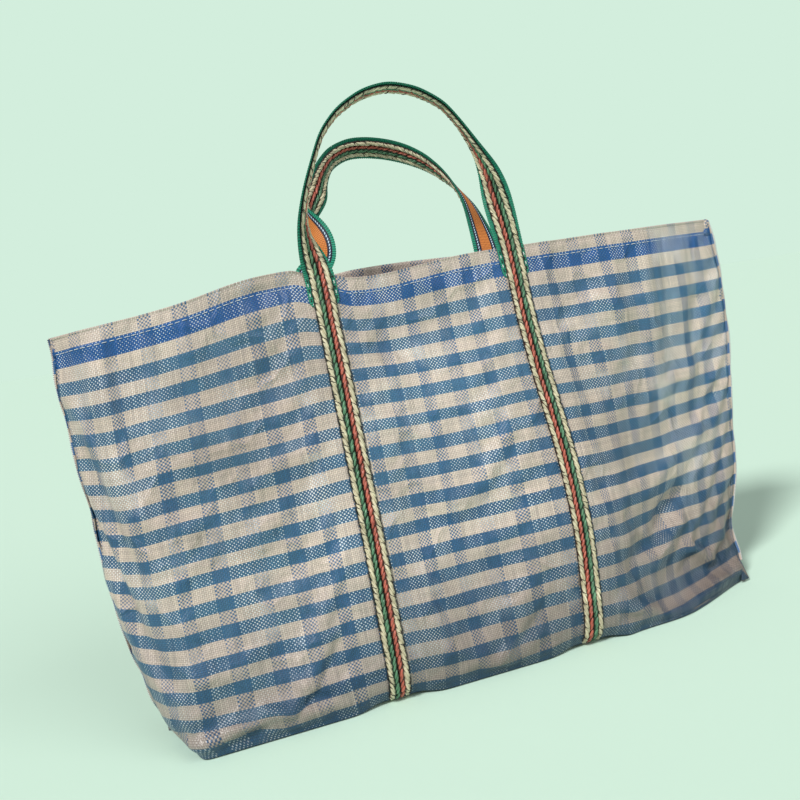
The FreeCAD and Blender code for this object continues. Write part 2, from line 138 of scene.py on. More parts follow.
# ---------------------------------------------------------------- small tools
def smoothstep(x):
    x = np.clip(x, 0, 1)
    return x * x * (3 - 2 * x)


def blur(values, sigma):
    """Gaussian blur along the first axis, with both ends held."""
    reach = int(math.ceil(3 * sigma))
    kernel = np.exp(-0.5 * (np.arange(-reach, reach + 1) / sigma) ** 2)
    kernel /= kernel.sum()
    first = 2 * values[0] - values[reach:0:-1]
    last = 2 * values[-1] - values[-2:-reach - 2:-1]
    padded = np.concatenate([first, values, last])
    out = sum(w * padded[k:k + len(values)] for k, w in enumerate(kernel))
    return out


def unit(vectors):
    return vectors / np.linalg.norm(vectors, axis=-1, keepdims=True)


def distances(points):
    """How far along its line each point is."""
    steps = np.linalg.norm(np.diff(points, axis=0), axis=1)
    return np.concatenate([[0], np.cumsum(steps)])


def resample(at, lengths, values):
    """The columns of values, read at places along a line."""
    return np.stack([np.interp(at, lengths, column) for column in values.T], -1)


def field(x, y, z, seed):
    """Smooth noise at each point, between about -1 and 1."""
    offset = Vector((seed * 17.3, seed * 5.1, seed * 9.7))
    return np.array([noise.noise(Vector(p) + offset) for p in zip(x, y, z)])


def new_piece(name, points, faces, materials, face_materials=None, corner_uv=None, smooth=True):
    """A mesh object from points in millimetres. corner_uv has one pair to a face corner, in metres."""
    mesh = bpy.data.meshes.new(name)
    mesh.from_pydata((np.asarray(points) * MM).tolist(), [], [list(f) for f in faces])
    for material in materials:
        mesh.materials.append(material)
    if face_materials is not None:
        mesh.polygons.foreach_set("material_index", np.asarray(face_materials, np.int32))
    if corner_uv is not None:
        layer = mesh.uv_layers.new(name="weave")
        layer.data.foreach_set("uv", np.asarray(corner_uv, np.float32).ravel())
    mesh.polygons.foreach_set("use_smooth", [smooth] * len(mesh.polygons))
    mesh.update()
    piece = bpy.data.objects.new(name, mesh)
    bpy.context.scene.collection.objects.link(piece)
    return piece


def grid_faces(rows, columns, first=0):
    index = first + np.arange(rows * columns).reshape(rows, columns)
    quads = np.stack([index[:-1, :-1], index[:-1, 1:], index[1:, 1:], index[1:, :-1]], -1)
    return quads.reshape(-1, 4)


def thicken(piece, thickness, offset):
    sheet = piece.modifiers.new("thickness", "SOLIDIFY")
    sheet.thickness = thickness * MM
    sheet.offset = offset


def round_off(piece):
    rounding = piece.modifiers.new("rounding", "SUBSURF")
    rounding.levels = rounding.render_levels = 1
    return rounding


# ---------------------------------------------------------------- the bag's wall
PAST_RIM = 20.0  # the levels go on this far, so that the rim keeps its slope
LEVEL_ROUNDING = 7.0
PROFILE_Z = np.arange(FOOT, RIM + 12.0, 1.0)
ZONES = {"left": 50, "middle": 38, "right": 50}  # columns of the wall's grid
ROW_COUNT = 84
FOOT_ROWS = (0.0, 2.0, 4.5, 8.0, 12.0, 16.5)  # above the foot
HEM_ROWS = (HEM, 12.0, 8.0, 4.0, 1.5, 0.0)  # below the rim
STRAP_EASE = 30.0  # past a strap's edge, until the cloth is free
FOLD_ROUNDING, FOLD_SOFTER = 0.8, 1.4  # columns: at the foot, and what is added above
FOLD_SOFTER_FROM, FOLD_SOFTER_RISE = 20.0, 90.0
STRAP_NOTCH, STRAP_NOTCH_EASE = 4.0, 22.0  # the rim's shape leaves the left strap alone
DROOP_GAIN, DROOP_START = 1.15, 0.15  # how the droop grows with the share of the height
FOOT_BAND = 0.05  # share of the height in which the foot drops
CALM_FOOT, CALM_RIM, CALM_AT_RIM = 0.08, 0.2, 0.35  # shares where the waves fade, and what stays of them


def wall_profiles():
    table = np.array(LEVELS)
    slope = (table[-1] - table[-2]) / (table[-1, 0] - table[-2, 0])
    table = np.vstack([table, table[-1] + slope * PAST_RIM])
    columns = [np.interp(PROFILE_Z, table[:, 0], table[:, k]) for k in range(1, 6)]
    return blur(np.stack(columns, -1), LEVEL_ROUNDING)


PROFILES = wall_profiles()


def profile(z):
    """Half depth, left fold, right fold, left seam and right seam at a height."""
    return [np.interp(z, PROFILE_Z, PROFILES[:, k]) for k in range(5)]


def zone_line(z, zone):
    """Corners of one zone of a wall at a height, in X and depth, from left to right."""
    depth, left_fold, right_fold, left_seam, right_seam = profile(z)
    if zone == "left":
        return [(-left_seam, 0.0), (-left_fold, depth), (-STRAP_X, depth)]
    if zone == "middle":
        return [(-STRAP_X, depth), (STRAP_X, depth)]
    return [(STRAP_X, depth), (right_fold, depth), (right_seam, 0.0)]


def along_line(corners, shares):
    corners = np.array(corners)
    lengths = distances(corners)
    return resample(shares * lengths[-1], lengths, corners)


def row_heights():
    """Heights of the wall's rows: close together round the foot and at the hem."""
    hem = RIM - FOOT - np.array(HEM_ROWS)
    between = ROW_COUNT - len(FOOT_ROWS) - len(HEM_ROWS)
    middle = np.linspace(FOOT_ROWS[-1], hem[0], between + 2)[1:-1]
    return FOOT + np.concatenate([FOOT_ROWS, middle, hem])


HEIGHTS = row_heights()


def pattern_columns():
    """The pattern's U at the left and the right of every face column, with a jump under each strap."""
    left_width, right_width = (distances(np.array(zone_line(RIM, zone)))[-1] for zone in ("left", "right"))
    left = left_width * (1 - np.linspace(0, 1, ZONES["left"] + 1)) - OUTER_SHIFT
    middle = np.linspace(0, 2 * STRAP_X, ZONES["middle"] + 1) - MIDDLE_SHIFT
    right = right_width * np.linspace(0, 1, ZONES["right"] + 1) - OUTER_SHIFT
    starts = np.concatenate([-left[:-1], middle[:-1], right[:-1]])
    ends = np.concatenate([-left[1:], middle[1:], right[1:]])
    return starts, ends


def strap_free(x):
    """0 on a strap's line, 1 away from it."""
    return smoothstep((np.abs(np.abs(x) - STRAP_X) - TAPE_HALF) / STRAP_EASE)


def sway(points):
    """Moves the right strap's foot a little outwards and the corner beside it forwards."""
    x, z = points[..., 0], points[..., 2]
    near = smoothstep((x - SWAY_LEFT) / (STRAP_X - SWAY_LEFT)) * smoothstep((SWAY_RIGHT - x) / SWAY_EASE)
    fade = smoothstep((SWAY_TOP - z) / SWAY_FADE)
    foot = 0.5 + 0.5 * smoothstep(z / SWAY_FOOT)
    moved = points.copy()
    moved[..., 0] += SWAY * near * fade * foot
    moved[..., 1] -= PULL * smoothstep((x - PULL_LEFT) / PULL_EASE) * (1 - smoothstep(z / PULL_HEIGHT))
    return moved


def swelling(x, middle, reach, height):
    return height * np.exp(-((x - middle) / reach) ** 2)


def wall_lift(x, share, side):
    """What each point is lifted by: the rim's drooping end and swellings, and the foot's drop."""
    droop = DROOP * np.clip((-x - SPLIT_X) / (RIM_LEFT_SEAM - SPLIT_X), 0, 1)
    lift = -droop * smoothstep(share * DROOP_GAIN - DROOP_START)
    start, run = RIM_BAND[side]
    at_rim = smoothstep((share - start) / run)
    if side < 0:
        rise = swelling(x, *RIM_RISE) * (x < -STRAP_X)
        sag = swelling(x, *RIM_SAG) * (x >= -STRAP_X) * (x < STRAP_X)
        lift += (rise - sag) * smoothstep((np.abs(x + STRAP_X) - STRAP_NOTCH) / STRAP_NOTCH_EASE) * at_rim
    else:
        lift += swelling(x, *BACK_RIM_RISE) * strap_free(x) * at_rim
    return lift - FOOT_DROP * strap_free(x) * (1 - smoothstep(share / FOOT_BAND))


def bare_wall(side):
    """The wall's grid before it is crumpled, rows from the foot up."""
    rows = []
    for z in HEIGHTS:
        line = [along_line(zone_line(z, zone), np.linspace(0, 1, count + 1)) for zone, count in ZONES.items()]
        row = np.concatenate([line[0], line[1][1:], line[2][1:]])
        fullness = FOOT_FULLNESS * math.exp(-(z - FOOT) / FULLNESS_HEIGHT)
        row[:, 1] += fullness * smoothstep(row[:, 1] / FULLNESS_DEPTH) * strap_free(row[:, 0])
        softer = float(smoothstep((z - FOLD_SOFTER_FROM) / FOLD_SOFTER_RISE))
        rows.append(blur(row, FOLD_ROUNDING + FOLD_SOFTER * softer))
    plan = np.array(rows)
    x = plan[..., 0]
    height = np.broadcast_to(HEIGHTS[:, None], x.shape)
    share = (height - FOOT) / (RIM - FOOT)
    return sway(np.stack([x, side * plan[..., 1], height + wall_lift(x, share, side)], -1))


def grid_normals(grid, side):
    """Unit normals of a wall's grid, pointing out of the bag."""
    across = np.gradient(grid, axis=1)
    up = np.gradient(grid, axis=0)
    return -side * unit(np.cross(across, up))


def crumple(grid, side):
    """Soft hollows and waves pushed into the wall before the cloth settles."""
    shape = grid.shape[:2]
    x, y, z = (grid[..., k].ravel() for k in range(3))
    share = ((z - FOOT) / (RIM - FOOT)).reshape(shape)
    keep_foot = smoothstep(share / CALM_FOOT)
    keep_rim = CALM_AT_RIM + (1 - CALM_AT_RIM) * smoothstep((1 - share) / CALM_RIM)
    push = 0
    for number, (length, depth, rise, height, slanted) in enumerate(WAVES):
        across, up = (x + z, z - x) if slanted else (x, z)
        wave = field(across / length, y / depth, up / rise, 3 + side + number)
        push = push + wave.reshape(shape) * height
    push = push * strap_free(x).reshape(shape) * keep_foot * keep_rim
    return grid + grid_normals(grid, side) * push[..., None]


# Sharp creases: X and height of the start and of the end, how far they stand out, and their width.
FRONT_CREASES = (
    (248, 53, 318, 9, 8.5, 4.0),
    (262, 46, 206, 62, 6.0, 6.0),
    (250, 112, 186, 76, -11.0, 12.0),
    (186, 76, 146, 58, -7.0, 11.0),
    (244, 84, 176, 44, 8.0, 8.0),
    (308, 12, 200, 8, 6.0, 6.0),
    (312, 30, 262, 92, 5.0, 7.0),
    (292, 24, 214, 28, -6.0, 7.0),
    (128, 34, 180, 18, 5.0, 6.0),
    (290, 170, 196, 128, 5.5, 13.0),
    (300, 238, 210, 214, 4.5, 12.0),
    (322, 206, 262, 176, -5.0, 9.0),
    (312, 310, 290, 190, -5.5, 10.0),
    (177, 330, 241, 300, 4.5, 12.0),
    (-118, 372, -190, 350, 4.0, 9.0),
    (-122, 384, -205, 372, -3.5, 8.0),
    (-122, 344, -208, 300, 3.0, 14.0),
    (-276, 14, -206, 30, 7.5, 5.0),
    (-214, 30, -146, 14, 7.0, 5.0),
    (-250, 12, -184, 20, -6.5, 4.5),
    (-180, 44, -128, 30, 5.0, 6.0),
    (-285, 40, -262, 110, 3.5, 12.0),
    (-262, 66, -190, 84, 5.5, 13.0),
    (-286, 211, -230, 180, 6.0, 15.0),
    (-150, 140, -210, 120, -5.5, 13.0),
    (-130, 240, -214, 212, 5.0, 12.0),
    (60, 26, -20, 14, 3.5, 7.0),
    (-60, 20, -6, 34, -3.0, 8.0),
    (80, 200, 20, 160, 4.0, 15.0),
    (-76, 330, -6, 300, -3.5, 14.0),
    (-10, 372, 70, 356, 2.5, 8.0),
)
BACK_CREASES = (
    (-276, 40, -200, 90, 4.0, 10.0),
    (280, 46, 216, 92, 4.5, 9.0),
    (282, 44, 204, 30, 3.5, 9.0),
    (130, 120, 200, 170, 4.0, 14.0),
    (-120, 370, -200, 352, 3.0, 9.0),
    (-60, 60, 20, 30, 3.0, 12.0),
)
CREASE_BOW = 3.0  # how far a crease strays from its straight line
CREASE_POWER = 1.4  # how sharp its top is
CREASE_START, CREASE_END = 10.0, 0.6  # its rise in millimetres, and its fall as a share of it
CREASE_FOOT, CREASE_RIM, CREASE_AT_RIM = 8.0, 10.0, 0.3

# How the cloth settles
SETTLING = {
    "quality": 6, "mass": 0.2, "vertex_group_mass": "held", "shrink_min": -0.022,
    "tension_stiffness": 25, "compression_stiffness": 25, "shear_stiffness": 12, "bending_stiffness": 1.5,
    "tension_damping": 15, "compression_damping": 15, "shear_damping": 10,
}
SETTLING_GRAVITY = 0.6
SETTLING_FRAMES = 22
SETTLING_REACH = 11.0  # no point moves further than this


def crease(grid, side):
    normals = grid_normals(grid, side)
    x, z = grid[..., 0], grid[..., 2]
    push = np.zeros(x.shape)
    for x0, z0, x1, z1, height, width in FRONT_CREASES if side < 0 else BACK_CREASES:
        run = np.array([x1 - x0, z1 - z0], float)
        length = np.linalg.norm(run)
        run /= length
        along = (x - x0) * run[0] + (z - z0) * run[1]
        off = -(x - x0) * run[1] + (z - z0) * run[0]
        off = off + CREASE_BOW * np.sin(along / length * math.pi * 1.5)
        ends = smoothstep(along / CREASE_START + 1) * smoothstep((length - along) / (CREASE_END * length))
        push += height * ends * np.exp(-np.abs(off / width) ** CREASE_POWER)
    at_rim = smoothstep((RIM - z) / CREASE_RIM + CREASE_AT_RIM)
    push *= strap_free(x) * smoothstep((z - FOOT) / CREASE_FOOT) * at_rim
    return grid + normals * push[..., None]


def hold(piece, x):
    """Holds the cloth at the straps, the foot, the rim and both seams."""
    held = 1 - strap_free(x)
    held[:3] = held[-4:] = 1
    held[:, :1] = held[:, -1:] = 1
    group = piece.vertex_groups.new(name="held")
    for index, weight in enumerate(held.ravel()):
        if weight > 0.01:
            group.add([index], float(weight), "REPLACE")


def settle(grid, name):
    """Runs the cloth, a little larger than its frame, so that it buckles between where it is held."""
    piece = new_piece(name, grid.reshape(-1, 3), grid_faces(*grid.shape[:2]), [])
    hold(piece, grid[..., 0])
    cloth = piece.modifiers.new("settle", "CLOTH")
    for key, value in SETTLING.items():
        setattr(cloth.settings, key, value)
    cloth.settings.effector_weights.gravity = SETTLING_GRAVITY
    cloth.point_cache.frame_end = SETTLING_FRAMES
    scene = bpy.context.scene
    for number in range(1, SETTLING_FRAMES + 1):
        scene.frame_set(number)
    result = piece.evaluated_get(bpy.context.evaluated_depsgraph_get()).data
    moved = np.zeros(grid.size)
    result.vertices.foreach_get("co", moved)
    scene.frame_set(1)
    data = piece.data
    bpy.data.objects.remove(piece)
    bpy.data.meshes.remove(data)
    shift = moved.reshape(grid.shape) / MM - grid
    size = np.linalg.norm(shift, axis=-1, keepdims=True)
    return grid + shift * (SETTLING_REACH * np.tanh(size / SETTLING_REACH) / np.maximum(size, 1e-6))


def wall_faces(v_rows, side):
    """Faces of a grid with the wall's columns, and the UV of each face corner, facing out of the bag."""
    starts, ends = pattern_columns()
    v_rows = np.asarray(v_rows)
    uv = np.zeros((len(v_rows) - 1, len(starts), 4, 2))
    uv[:, :, 0, 0] = uv[:, :, 3, 0] = starts[None]
    uv[:, :, 1, 0] = uv[:, :, 2, 0] = ends[None]
    uv[:, :, 0, 1] = uv[:, :, 1, 1] = v_rows[:-1, None]
    uv[:, :, 2, 1] = uv[:, :, 3, 1] = v_rows[1:, None]
    uv = uv.reshape(-1, 4, 2) * MM
    faces = grid_faces(len(v_rows), len(starts) + 1)
    if side > 0:
        faces, uv = faces[:, ::-1], uv[:, ::-1]
    return faces, uv.reshape(-1, 2)


def make_wall(name, side):
    grid = crumple(bare_wall(side), side)
    grid = crease(settle(grid, name + "_settling"), side)
    faces, uv = wall_faces(RIM - HEIGHTS, side)
    piece = new_piece(name, grid.reshape(-1, 3), faces, [CLOTH], corner_uv=uv)
    round_off(piece).uv_smooth = "NONE"
    thicken(piece, CLOTH_THICK, -1)
    return piece, grid


# ---------------------------------------------------------------- materials
class Value:
    """What a node gives. Sums, comparisons and the methods below add more nodes."""

    def __init__(self, recipe, socket):
        self.recipe = recipe
        self.socket = socket

    def __rsub__(self, other):
        return self.recipe.math("SUBTRACT", other, self)


OPERATIONS = {
    "__add__": "ADD", "__sub__": "SUBTRACT", "__mul__": "MULTIPLY", "__truediv__": "DIVIDE",
    "__abs__": "ABSOLUTE", "__lt__": "LESS_THAN", "__gt__": "GREATER_THAN",
    "floor": "FLOOR", "fract": "FRACT", "sine": "SINE",
}


def operator(operation):
    return lambda value, *others: value.recipe.math(operation, value, *others)


for method, operation in OPERATIONS.items():
    setattr(Value, method, operator(operation))


def srgb(red, green, blue):
    """A colour given as 0 to 255 display values, with full opacity."""
    values = []
    for value in (red, green, blue):
        value /= 255
        values.append(value / 12.92 if value <= 0.04045 else ((value + 0.055) / 1.055) ** 2.4)
    return (*values, 1.0)


class Recipe:
    """A material's nodes, added one after another. Colours are given as display values."""

    def __init__(self, name, specular):
        self.material = bpy.data.materials.new(name)
        self.material.use_nodes = True
        self.tree = self.material.node_tree
        self.surface = self.tree.nodes["Principled BSDF"].inputs
        self.feed(self.surface["Specular IOR Level"], specular)

    def feed(self, socket, value):
        if isinstance(value, Value):
            self.tree.links.new(value.socket, socket)
        else:
            socket.default_value = value

    def node(self, kind, inputs, output=0, **settings):
        """Adds a node, feeds its inputs by place or name, and gives one of its outputs."""
        made = self.tree.nodes.new("ShaderNode" + kind)
        for key, value in settings.items():
            setattr(made, key, value)
        for key, value in inputs.items():
            self.feed(made.inputs[key], value)
        return Value(self, made.outputs[output])

    def math(self, operation, *values):
        return self.node("Math", dict(enumerate(values)), operation=operation)

    def ramp(self, value, low, high, to_low=0.0, to_high=1.0):
        """Turns the run from low to high into the run from to_low to to_high."""
        return self.node("MapRange", dict(enumerate((value, low, high, to_low, to_high))))

    def mix(self, share, first, second, blend="MIX"):
        first, second = (srgb(*item) if isinstance(item, tuple) else item for item in (first, second))
        inputs = {0: share, 6: first, 7: second}
        return self.node("Mix", inputs, 2, data_type="RGBA", blend_type=blend)

    def uv(self):
        pair = self.node("UVMap", {}, uv_map="weave")
        return [self.node("SeparateXYZ", {0: pair}, output) for output in (0, 1)]

    def place(self):
        return self.node("TexCoord", {}, "Object")

    def vector(self, x, y):
        return self.node("CombineXYZ", {0: x, 1: y})

    def noise(self, scale, detail, place):
        return self.node("TexNoise", {"Scale": scale, "Detail": detail, "Vector": place})

    def random(self, x, y=0.0):
        return self.node("TexWhiteNoise", {"Vector": self.vector(x, y)}, noise_dimensions="2D")

    def ribs(self, along, pitch):
        """Ribs from 0 to 1, with a pitch in millimetres."""
        return self.ramp((along * (2 * math.pi / (pitch * MM))).sine(), -1.0, 1.0)

    def bump(self, height, strength, distance, after=None):
        """A bump over the one before it, with a distance in millimetres."""
        inputs = {"Height": height, "Strength": strength, "Distance": distance * MM}
        if after is not None:
            inputs["Normal"] = after
        return self.node("Bump", inputs)

    def finish(self, colour, roughness, normal=None):
        self.feed(self.surface["Base Color"], colour)
        self.feed(self.surface["Roughness"], roughness)
        if normal is not None:
            self.feed(self.surface["Normal"], normal)
        return self.material


# Sizes of the cloth's markings, as noise waves to a metre
CLOUDS, PATCHES, PAINTED_GLINTS, GRIME = 9.0, 15.0, 22.0, 5.0
RIDGES, HOLLOWS, DENTS = 13.0, 17.0, 38.0
STREAKS_ACROSS, STREAKS_ALONG = 420.0, 22.0

# Fineness of the straw's fibres, the thread's twist and the tape's threads, each along and across
FIBRES_ALONG, FIBRES_ACROSS, FIBRES_APART = 1.6, 14.0, 7.3
TWIST_ALONG, TWIST_ACROSS = 9000.0, 2500.0
TAPE_THREADS_ALONG, TAPE_THREADS_ACROSS = 900.0, 3000.0

# Widths on the tape's reverse, out from its middle: orange, dark, dashed line, dark, teal
TAPE_ORANGE, DASH_IN, DASH_OUT, TAPE_TEAL = 5.4, 7.3, 8.6, 10.4
TAPE_RIB, TAPE_FINE_RIB, SELVAGE_RIB = 2.2, 1.5, 1.6
DASH_ALONG, DASH_ACROSS, DASH_GAP = 3.2, 3.0, 0.42


def in_blue_weft(below_rim):
    """1 in the blue bands of the weft below the hem."""
    return ((below_rim - HEM_BLUE_END * MM) / (WEFT_PITCH * MM)).fract() > WEFT_CREAM / WEFT_PITCH


def cloth_material():
    """Blue and cream check of flat plastic threads, weft over most of the face, dots of warp through it."""
    recipe = Recipe("checked_cloth", 0.45)
    u, v = recipe.uv()
    place = recipe.place()
    thread = THREAD * MM
    column, row = (u / thread).floor(), (v / thread).floor()
    u_thread, v_thread = column * thread, row * thread

    # which bands cross here
    warp_at = ((u_thread + WARP_BLUE * MM / 2) / (WARP_PITCH * MM)).fract()
    warp_blue = warp_at < WARP_BLUE / WARP_PITCH
    in_hem = v_thread < HEM_BLUE_END * MM
    hem_blue = in_hem * (v_thread > RIM_CREAM * MM)
    weft_blue = hem_blue + (1.0 - in_hem) * in_blue_weft(v_thread)

    # each thread's own colour
    cloud = recipe.ramp(recipe.noise(CLOUDS, 3.0, place), 0.3, 0.7)
    column_tone = recipe.random(column, 7.0)
    pale_blue = recipe.mix(cloud, (44, 92, 134), (76, 126, 158))
    dyed = recipe.mix(hem_blue, pale_blue, (12, 92, 168))
    cream = recipe.mix(cloud, (238, 216, 200), (220, 202, 188))
    weft = recipe.mix(weft_blue, cream, dyed)
    weft = recipe.mix(recipe.random(row) * 0.16, weft, (60, 74, 96))
    warp_pale = recipe.mix(weft_blue, (236, 221, 206), (222, 232, 240))
    warp = recipe.mix(warp_blue, warp_pale, (48, 104, 152))
    warp = recipe.mix(column_tone * 0.2, warp, (90, 100, 120))

    # where the warp comes to the face
    crossing = (u * (math.pi / thread)).sine() * (v * (math.pi / thread)).sine()
    patch = recipe.noise(PATCHES, 3.0, place)
    low = recipe.ramp(patch, 0.36, 0.62, 0.54, 0.1) + recipe.ramp(column_tone, 0.0, 1.0, -0.1, 0.16)
    low = low - warp_blue * (1.0 - weft_blue) * 0.14
    low = low + weft_blue * (1.0 - warp_blue) * 0.1
    dot = recipe.ramp(crossing, low, low + 0.22)
    colour = recipe.mix(dot, weft, warp)

    # painted glints, painted shade in the thread gaps, streaks, grime and painted shade towards the foot
    painted_glint = recipe.ramp(recipe.noise(PAINTED_GLINTS, 2.0, place), 0.52, 0.7)
    # painted glints: white highlights on the warp dots, in patches
    colour = recipe.mix(dot * painted_glint * 0.9, colour, (250, 250, 248))
    # painted shade in the gaps between the threads
    colour = recipe.mix(recipe.ramp(abs(crossing), 0.0, 0.42, 0.5, 0.0), colour, (30, 32, 40))
    streak_at = recipe.vector(u_thread * STREAKS_ACROSS, v * STREAKS_ALONG)
    streak = recipe.ramp(recipe.noise(1.0, 2.0, streak_at), 0.4, 0.72, 0.0, 0.34)
    colour = recipe.mix(streak, colour, recipe.mix(weft_blue, (120, 116, 118), (30, 66, 104)))
    grime = recipe.ramp(recipe.noise(GRIME, 4.0, place), 0.35, 0.72, 0.0, 0.5)
    colour = recipe.mix(grime, colour, (150, 138, 132), "MULTIPLY")
    # painted shade: the cloth's colour darkens towards the foot, in place of the shading of the lower wall
    foot = RIM * MM
    foot_shade = recipe.ramp(v, foot - FOOT_SHADE_HEIGHT * MM, foot, 0.0, 0.8)
    colour = recipe.mix(foot_shade, colour, (144, 147, 153), "MULTIPLY")

    ridge = recipe.ramp(abs(recipe.noise(RIDGES, 3.0, place) - 0.5), 0.0, 0.05, 1.0, 0.0)
    normal = recipe.bump(recipe.noise(HOLLOWS, 2.0, place), 0.6, 7.0)
    normal = recipe.bump(recipe.noise(DENTS, 3.0, place), 0.5, 3.0, normal)
    normal = recipe.bump(ridge, 0.6, 2.0, normal)
    normal = recipe.bump(crossing, 0.5, 0.3, normal)
    return recipe.finish(colour, recipe.ramp(patch, 0.3, 0.7, 0.5, 0.34), normal)


def straw_material(name, dark, light, shade):
    """Twisted plastic straw: fine lines along each lobe, and shade where its ends go under the next."""
    recipe = Recipe(name, 0.5)
    u, v = recipe.uv()
    lobe, along = u.floor(), u.fract()
    fibre_at = recipe.vector(along * FIBRES_ALONG + lobe * FIBRES_APART, v * FIBRES_ACROSS)
    fibres = recipe.noise(1.0, 3.0, fibre_at)
    colour = recipe.mix(recipe.ramp(fibres, 0.35, 0.65), dark, light)
    colour = recipe.mix(recipe.random(lobe, 2.0) * 0.3, colour, shade)
    colour = recipe.mix(recipe.ramp(abs(along - 0.5), 0.22, 0.44, 0.0, 0.92), colour, shade)
    return recipe.finish(colour, recipe.ramp(fibres, 0.3, 0.7, 0.3, 0.5), recipe.bump(fibres, 0.7, 0.4))


def thread_material(name, colour, light):
    recipe = Recipe(name, 0.4)
    u, v = recipe.uv()
    share = recipe.ramp((u * TWIST_ALONG + v * TWIST_ACROSS).sine(), -1.0, 1.0)
    roughness = recipe.ramp(share, 0.0, 1.0, 0.45, 0.6)
    return recipe.finish(recipe.mix(share, colour, light), roughness, recipe.bump(share, 0.5, 0.2))


def tape_face_material():
    """Teal tape with ribs across it."""
    recipe = Recipe("tape_face", 0.35)
    u, v = recipe.uv()
    rib = recipe.ribs(u, TAPE_RIB)
    threads = recipe.noise(1.0, 2.0, recipe.vector(u * TAPE_THREADS_ALONG, v * TAPE_THREADS_ACROSS))
    colour = recipe.mix(rib, (4, 70, 56), (24, 134, 106))
    colour = recipe.mix(recipe.ramp(threads, 0.4, 0.7, 0.0, 0.4), colour, (80, 196, 160))
    return recipe.finish(colour, 0.5, recipe.bump(rib + threads * 0.5, 0.6, 0.3))


def tape_back_material():
    """The tape's reverse: teal edges, dark bands, a dashed pale line each side and an orange middle."""
    recipe = Recipe("tape_back", 0.35)
    u, v = recipe.uv()
    off = abs(v)
    rib, fine = recipe.ribs(u, TAPE_RIB), recipe.ribs(v, TAPE_FINE_RIB)
    orange = recipe.mix(fine, (184, 98, 36), (244, 158, 78))
    orange = recipe.mix(rib * 0.65, orange, (120, 60, 30))
    teal = recipe.mix(rib, (6, 84, 66), (32, 156, 124))
    navy = recipe.mix(rib, (12, 14, 24), (28, 36, 62))
    slant = u * (1 / (DASH_ALONG * MM)) + v * (1 / (DASH_ACROSS * MM))
    pale = recipe.mix(slant.fract() > DASH_GAP, (20, 30, 60), (190, 214, 232))
    colour = recipe.mix(off > TAPE_ORANGE * MM, orange, navy)
    colour = recipe.mix((off > DASH_IN * MM) * (off < DASH_OUT * MM), colour, pale)
    colour = recipe.mix(off > TAPE_TEAL * MM, colour, teal)
    return recipe.finish(colour, 0.55, recipe.bump(rib + fine, 0.5, 0.25))


def selvage_material():
    """The cloth's own edge: its bands in shade, ribbed, with white threads outermost."""
    recipe = Recipe("selvage", 0.35)
    u, v = recipe.uv()
    threads = recipe.ribs(u, SELVAGE_RIB)
    colour = recipe.mix(in_blue_weft(u), (196, 172, 156), (38, 88, 140))
    colour = recipe.mix(threads * 0.35, colour, (150, 158, 170))
    white = recipe.mix(threads, (120, 120, 126), (236, 234, 230))
    colour = recipe.mix(v > SELVAGE_WHITE, colour, white)
    return recipe.finish(colour, 0.5, recipe.bump(threads, 0.5, 0.3))


CLOTH = cloth_material()
CREAM = straw_material("cream_straw", (164, 148, 112), (246, 236, 206), (66, 58, 42))
GREEN = straw_material("green_straw", (32, 80, 54), (116, 166, 128), (10, 26, 18))
RED = straw_material("red_straw", (146, 52, 42), (222, 126, 104), (46, 16, 14))
BLACK = thread_material("black_thread", (12, 12, 14), (52, 50, 50))
WHITE = thread_material("white_thread", (206, 206, 204), (246, 246, 244))
TAPE_FACE = tape_face_material()
TAPE_BACK = tape_back_material()
SELVAGE = selvage_material()


# ---------------------------------------------------------------- straps
LEG_STEP = 2.0
LEG_FOOT, LEG_TOP = 3.0, 1.0  # where a leg starts and ends, from the foot and the rim
UNDER_REACH = 62.0  # how far a strap is followed inwards under the bag
STAND_OFF, OVER_TAPE, TAPE_RAMP = 0.3, 1.1, 6.0  # off the cloth, and more over the tape's sewn end
WAY_ROUNDING, STRAP_ROUNDING, TURN_ROUNDING = 6.0, 4.0, 5.0
JOIN = 3  # points left out where a handle meets its legs
BRAID_MIDDLE = 1.5  # height of the lobes' middles over the braid's underside
PAIRING = 0.5  # every second lobe is closer to the one before it
STRAY = (0.4, 0.3, 0.25)  # how far a lobe strays along, across and out of the strap
SHORTEST, LONGEST, THINNEST, THICKEST = 0.92, 1.08, 0.88, 1.12


def strap_leg(side):
    """Underside of the braid from the middle of the bottom up to the fold line, in Y and Z."""
    heights = np.arange(FOOT + LEG_FOOT, RIM - LEG_TOP, LEG_STEP)
    over_tape = smoothstep((heights - (RIM - TAPE_END - TAPE_RAMP)) / TAPE_RAMP)
    wall = np.stack([profile(heights)[0] + (STAND_OFF + OVER_TAPE * over_tape), heights], -1)
    inwards = np.arange(0.0, UNDER_REACH, LEG_STEP)
    under = np.stack([inwards, np.full(len(inwards), FLOOR_GAP)], -1)
    line = np.concatenate([under, wall])
    line[:, 0] *= side
    return line


def handle_line(side):
    """The handle's braid underside and its across vectors, from the left foot to the right foot."""
    corners = np.array(WAYS[side], float)
    lengths = distances(corners[:, :2])
    flat = blur(resample(np.arange(0, lengths[-1], 1.0), lengths, corners), WAY_ROUNDING)
    twist = np.radians(flat[:, 2])
    flat = flat[:, :2]
    run = unit(np.gradient(flat, axis=0))
    outer = np.stack([-run[:, 1], np.zeros(len(run)), run[:, 0]], -1)
    forward = np.array([0.0, side, 0.0])
    across = outer * np.cos(twist)[:, None] + forward * np.sin(twist)[:, None]
    face = forward * np.cos(twist)[:, None] - outer * np.sin(twist)[:, None]
    line = np.stack([flat[:, 0], np.zeros(len(flat)), flat[:, 1]], -1) - face * SURFACE_INSET
    tilt = np.array(Matrix.Rotation(math.radians(LEAN[side]), 3, (-side, 0, 0)))
    hinge = np.array([0.0, side * HINGE_Y, HINGE_Z])
    return line @ tilt.T + hinge, across @ tilt.T


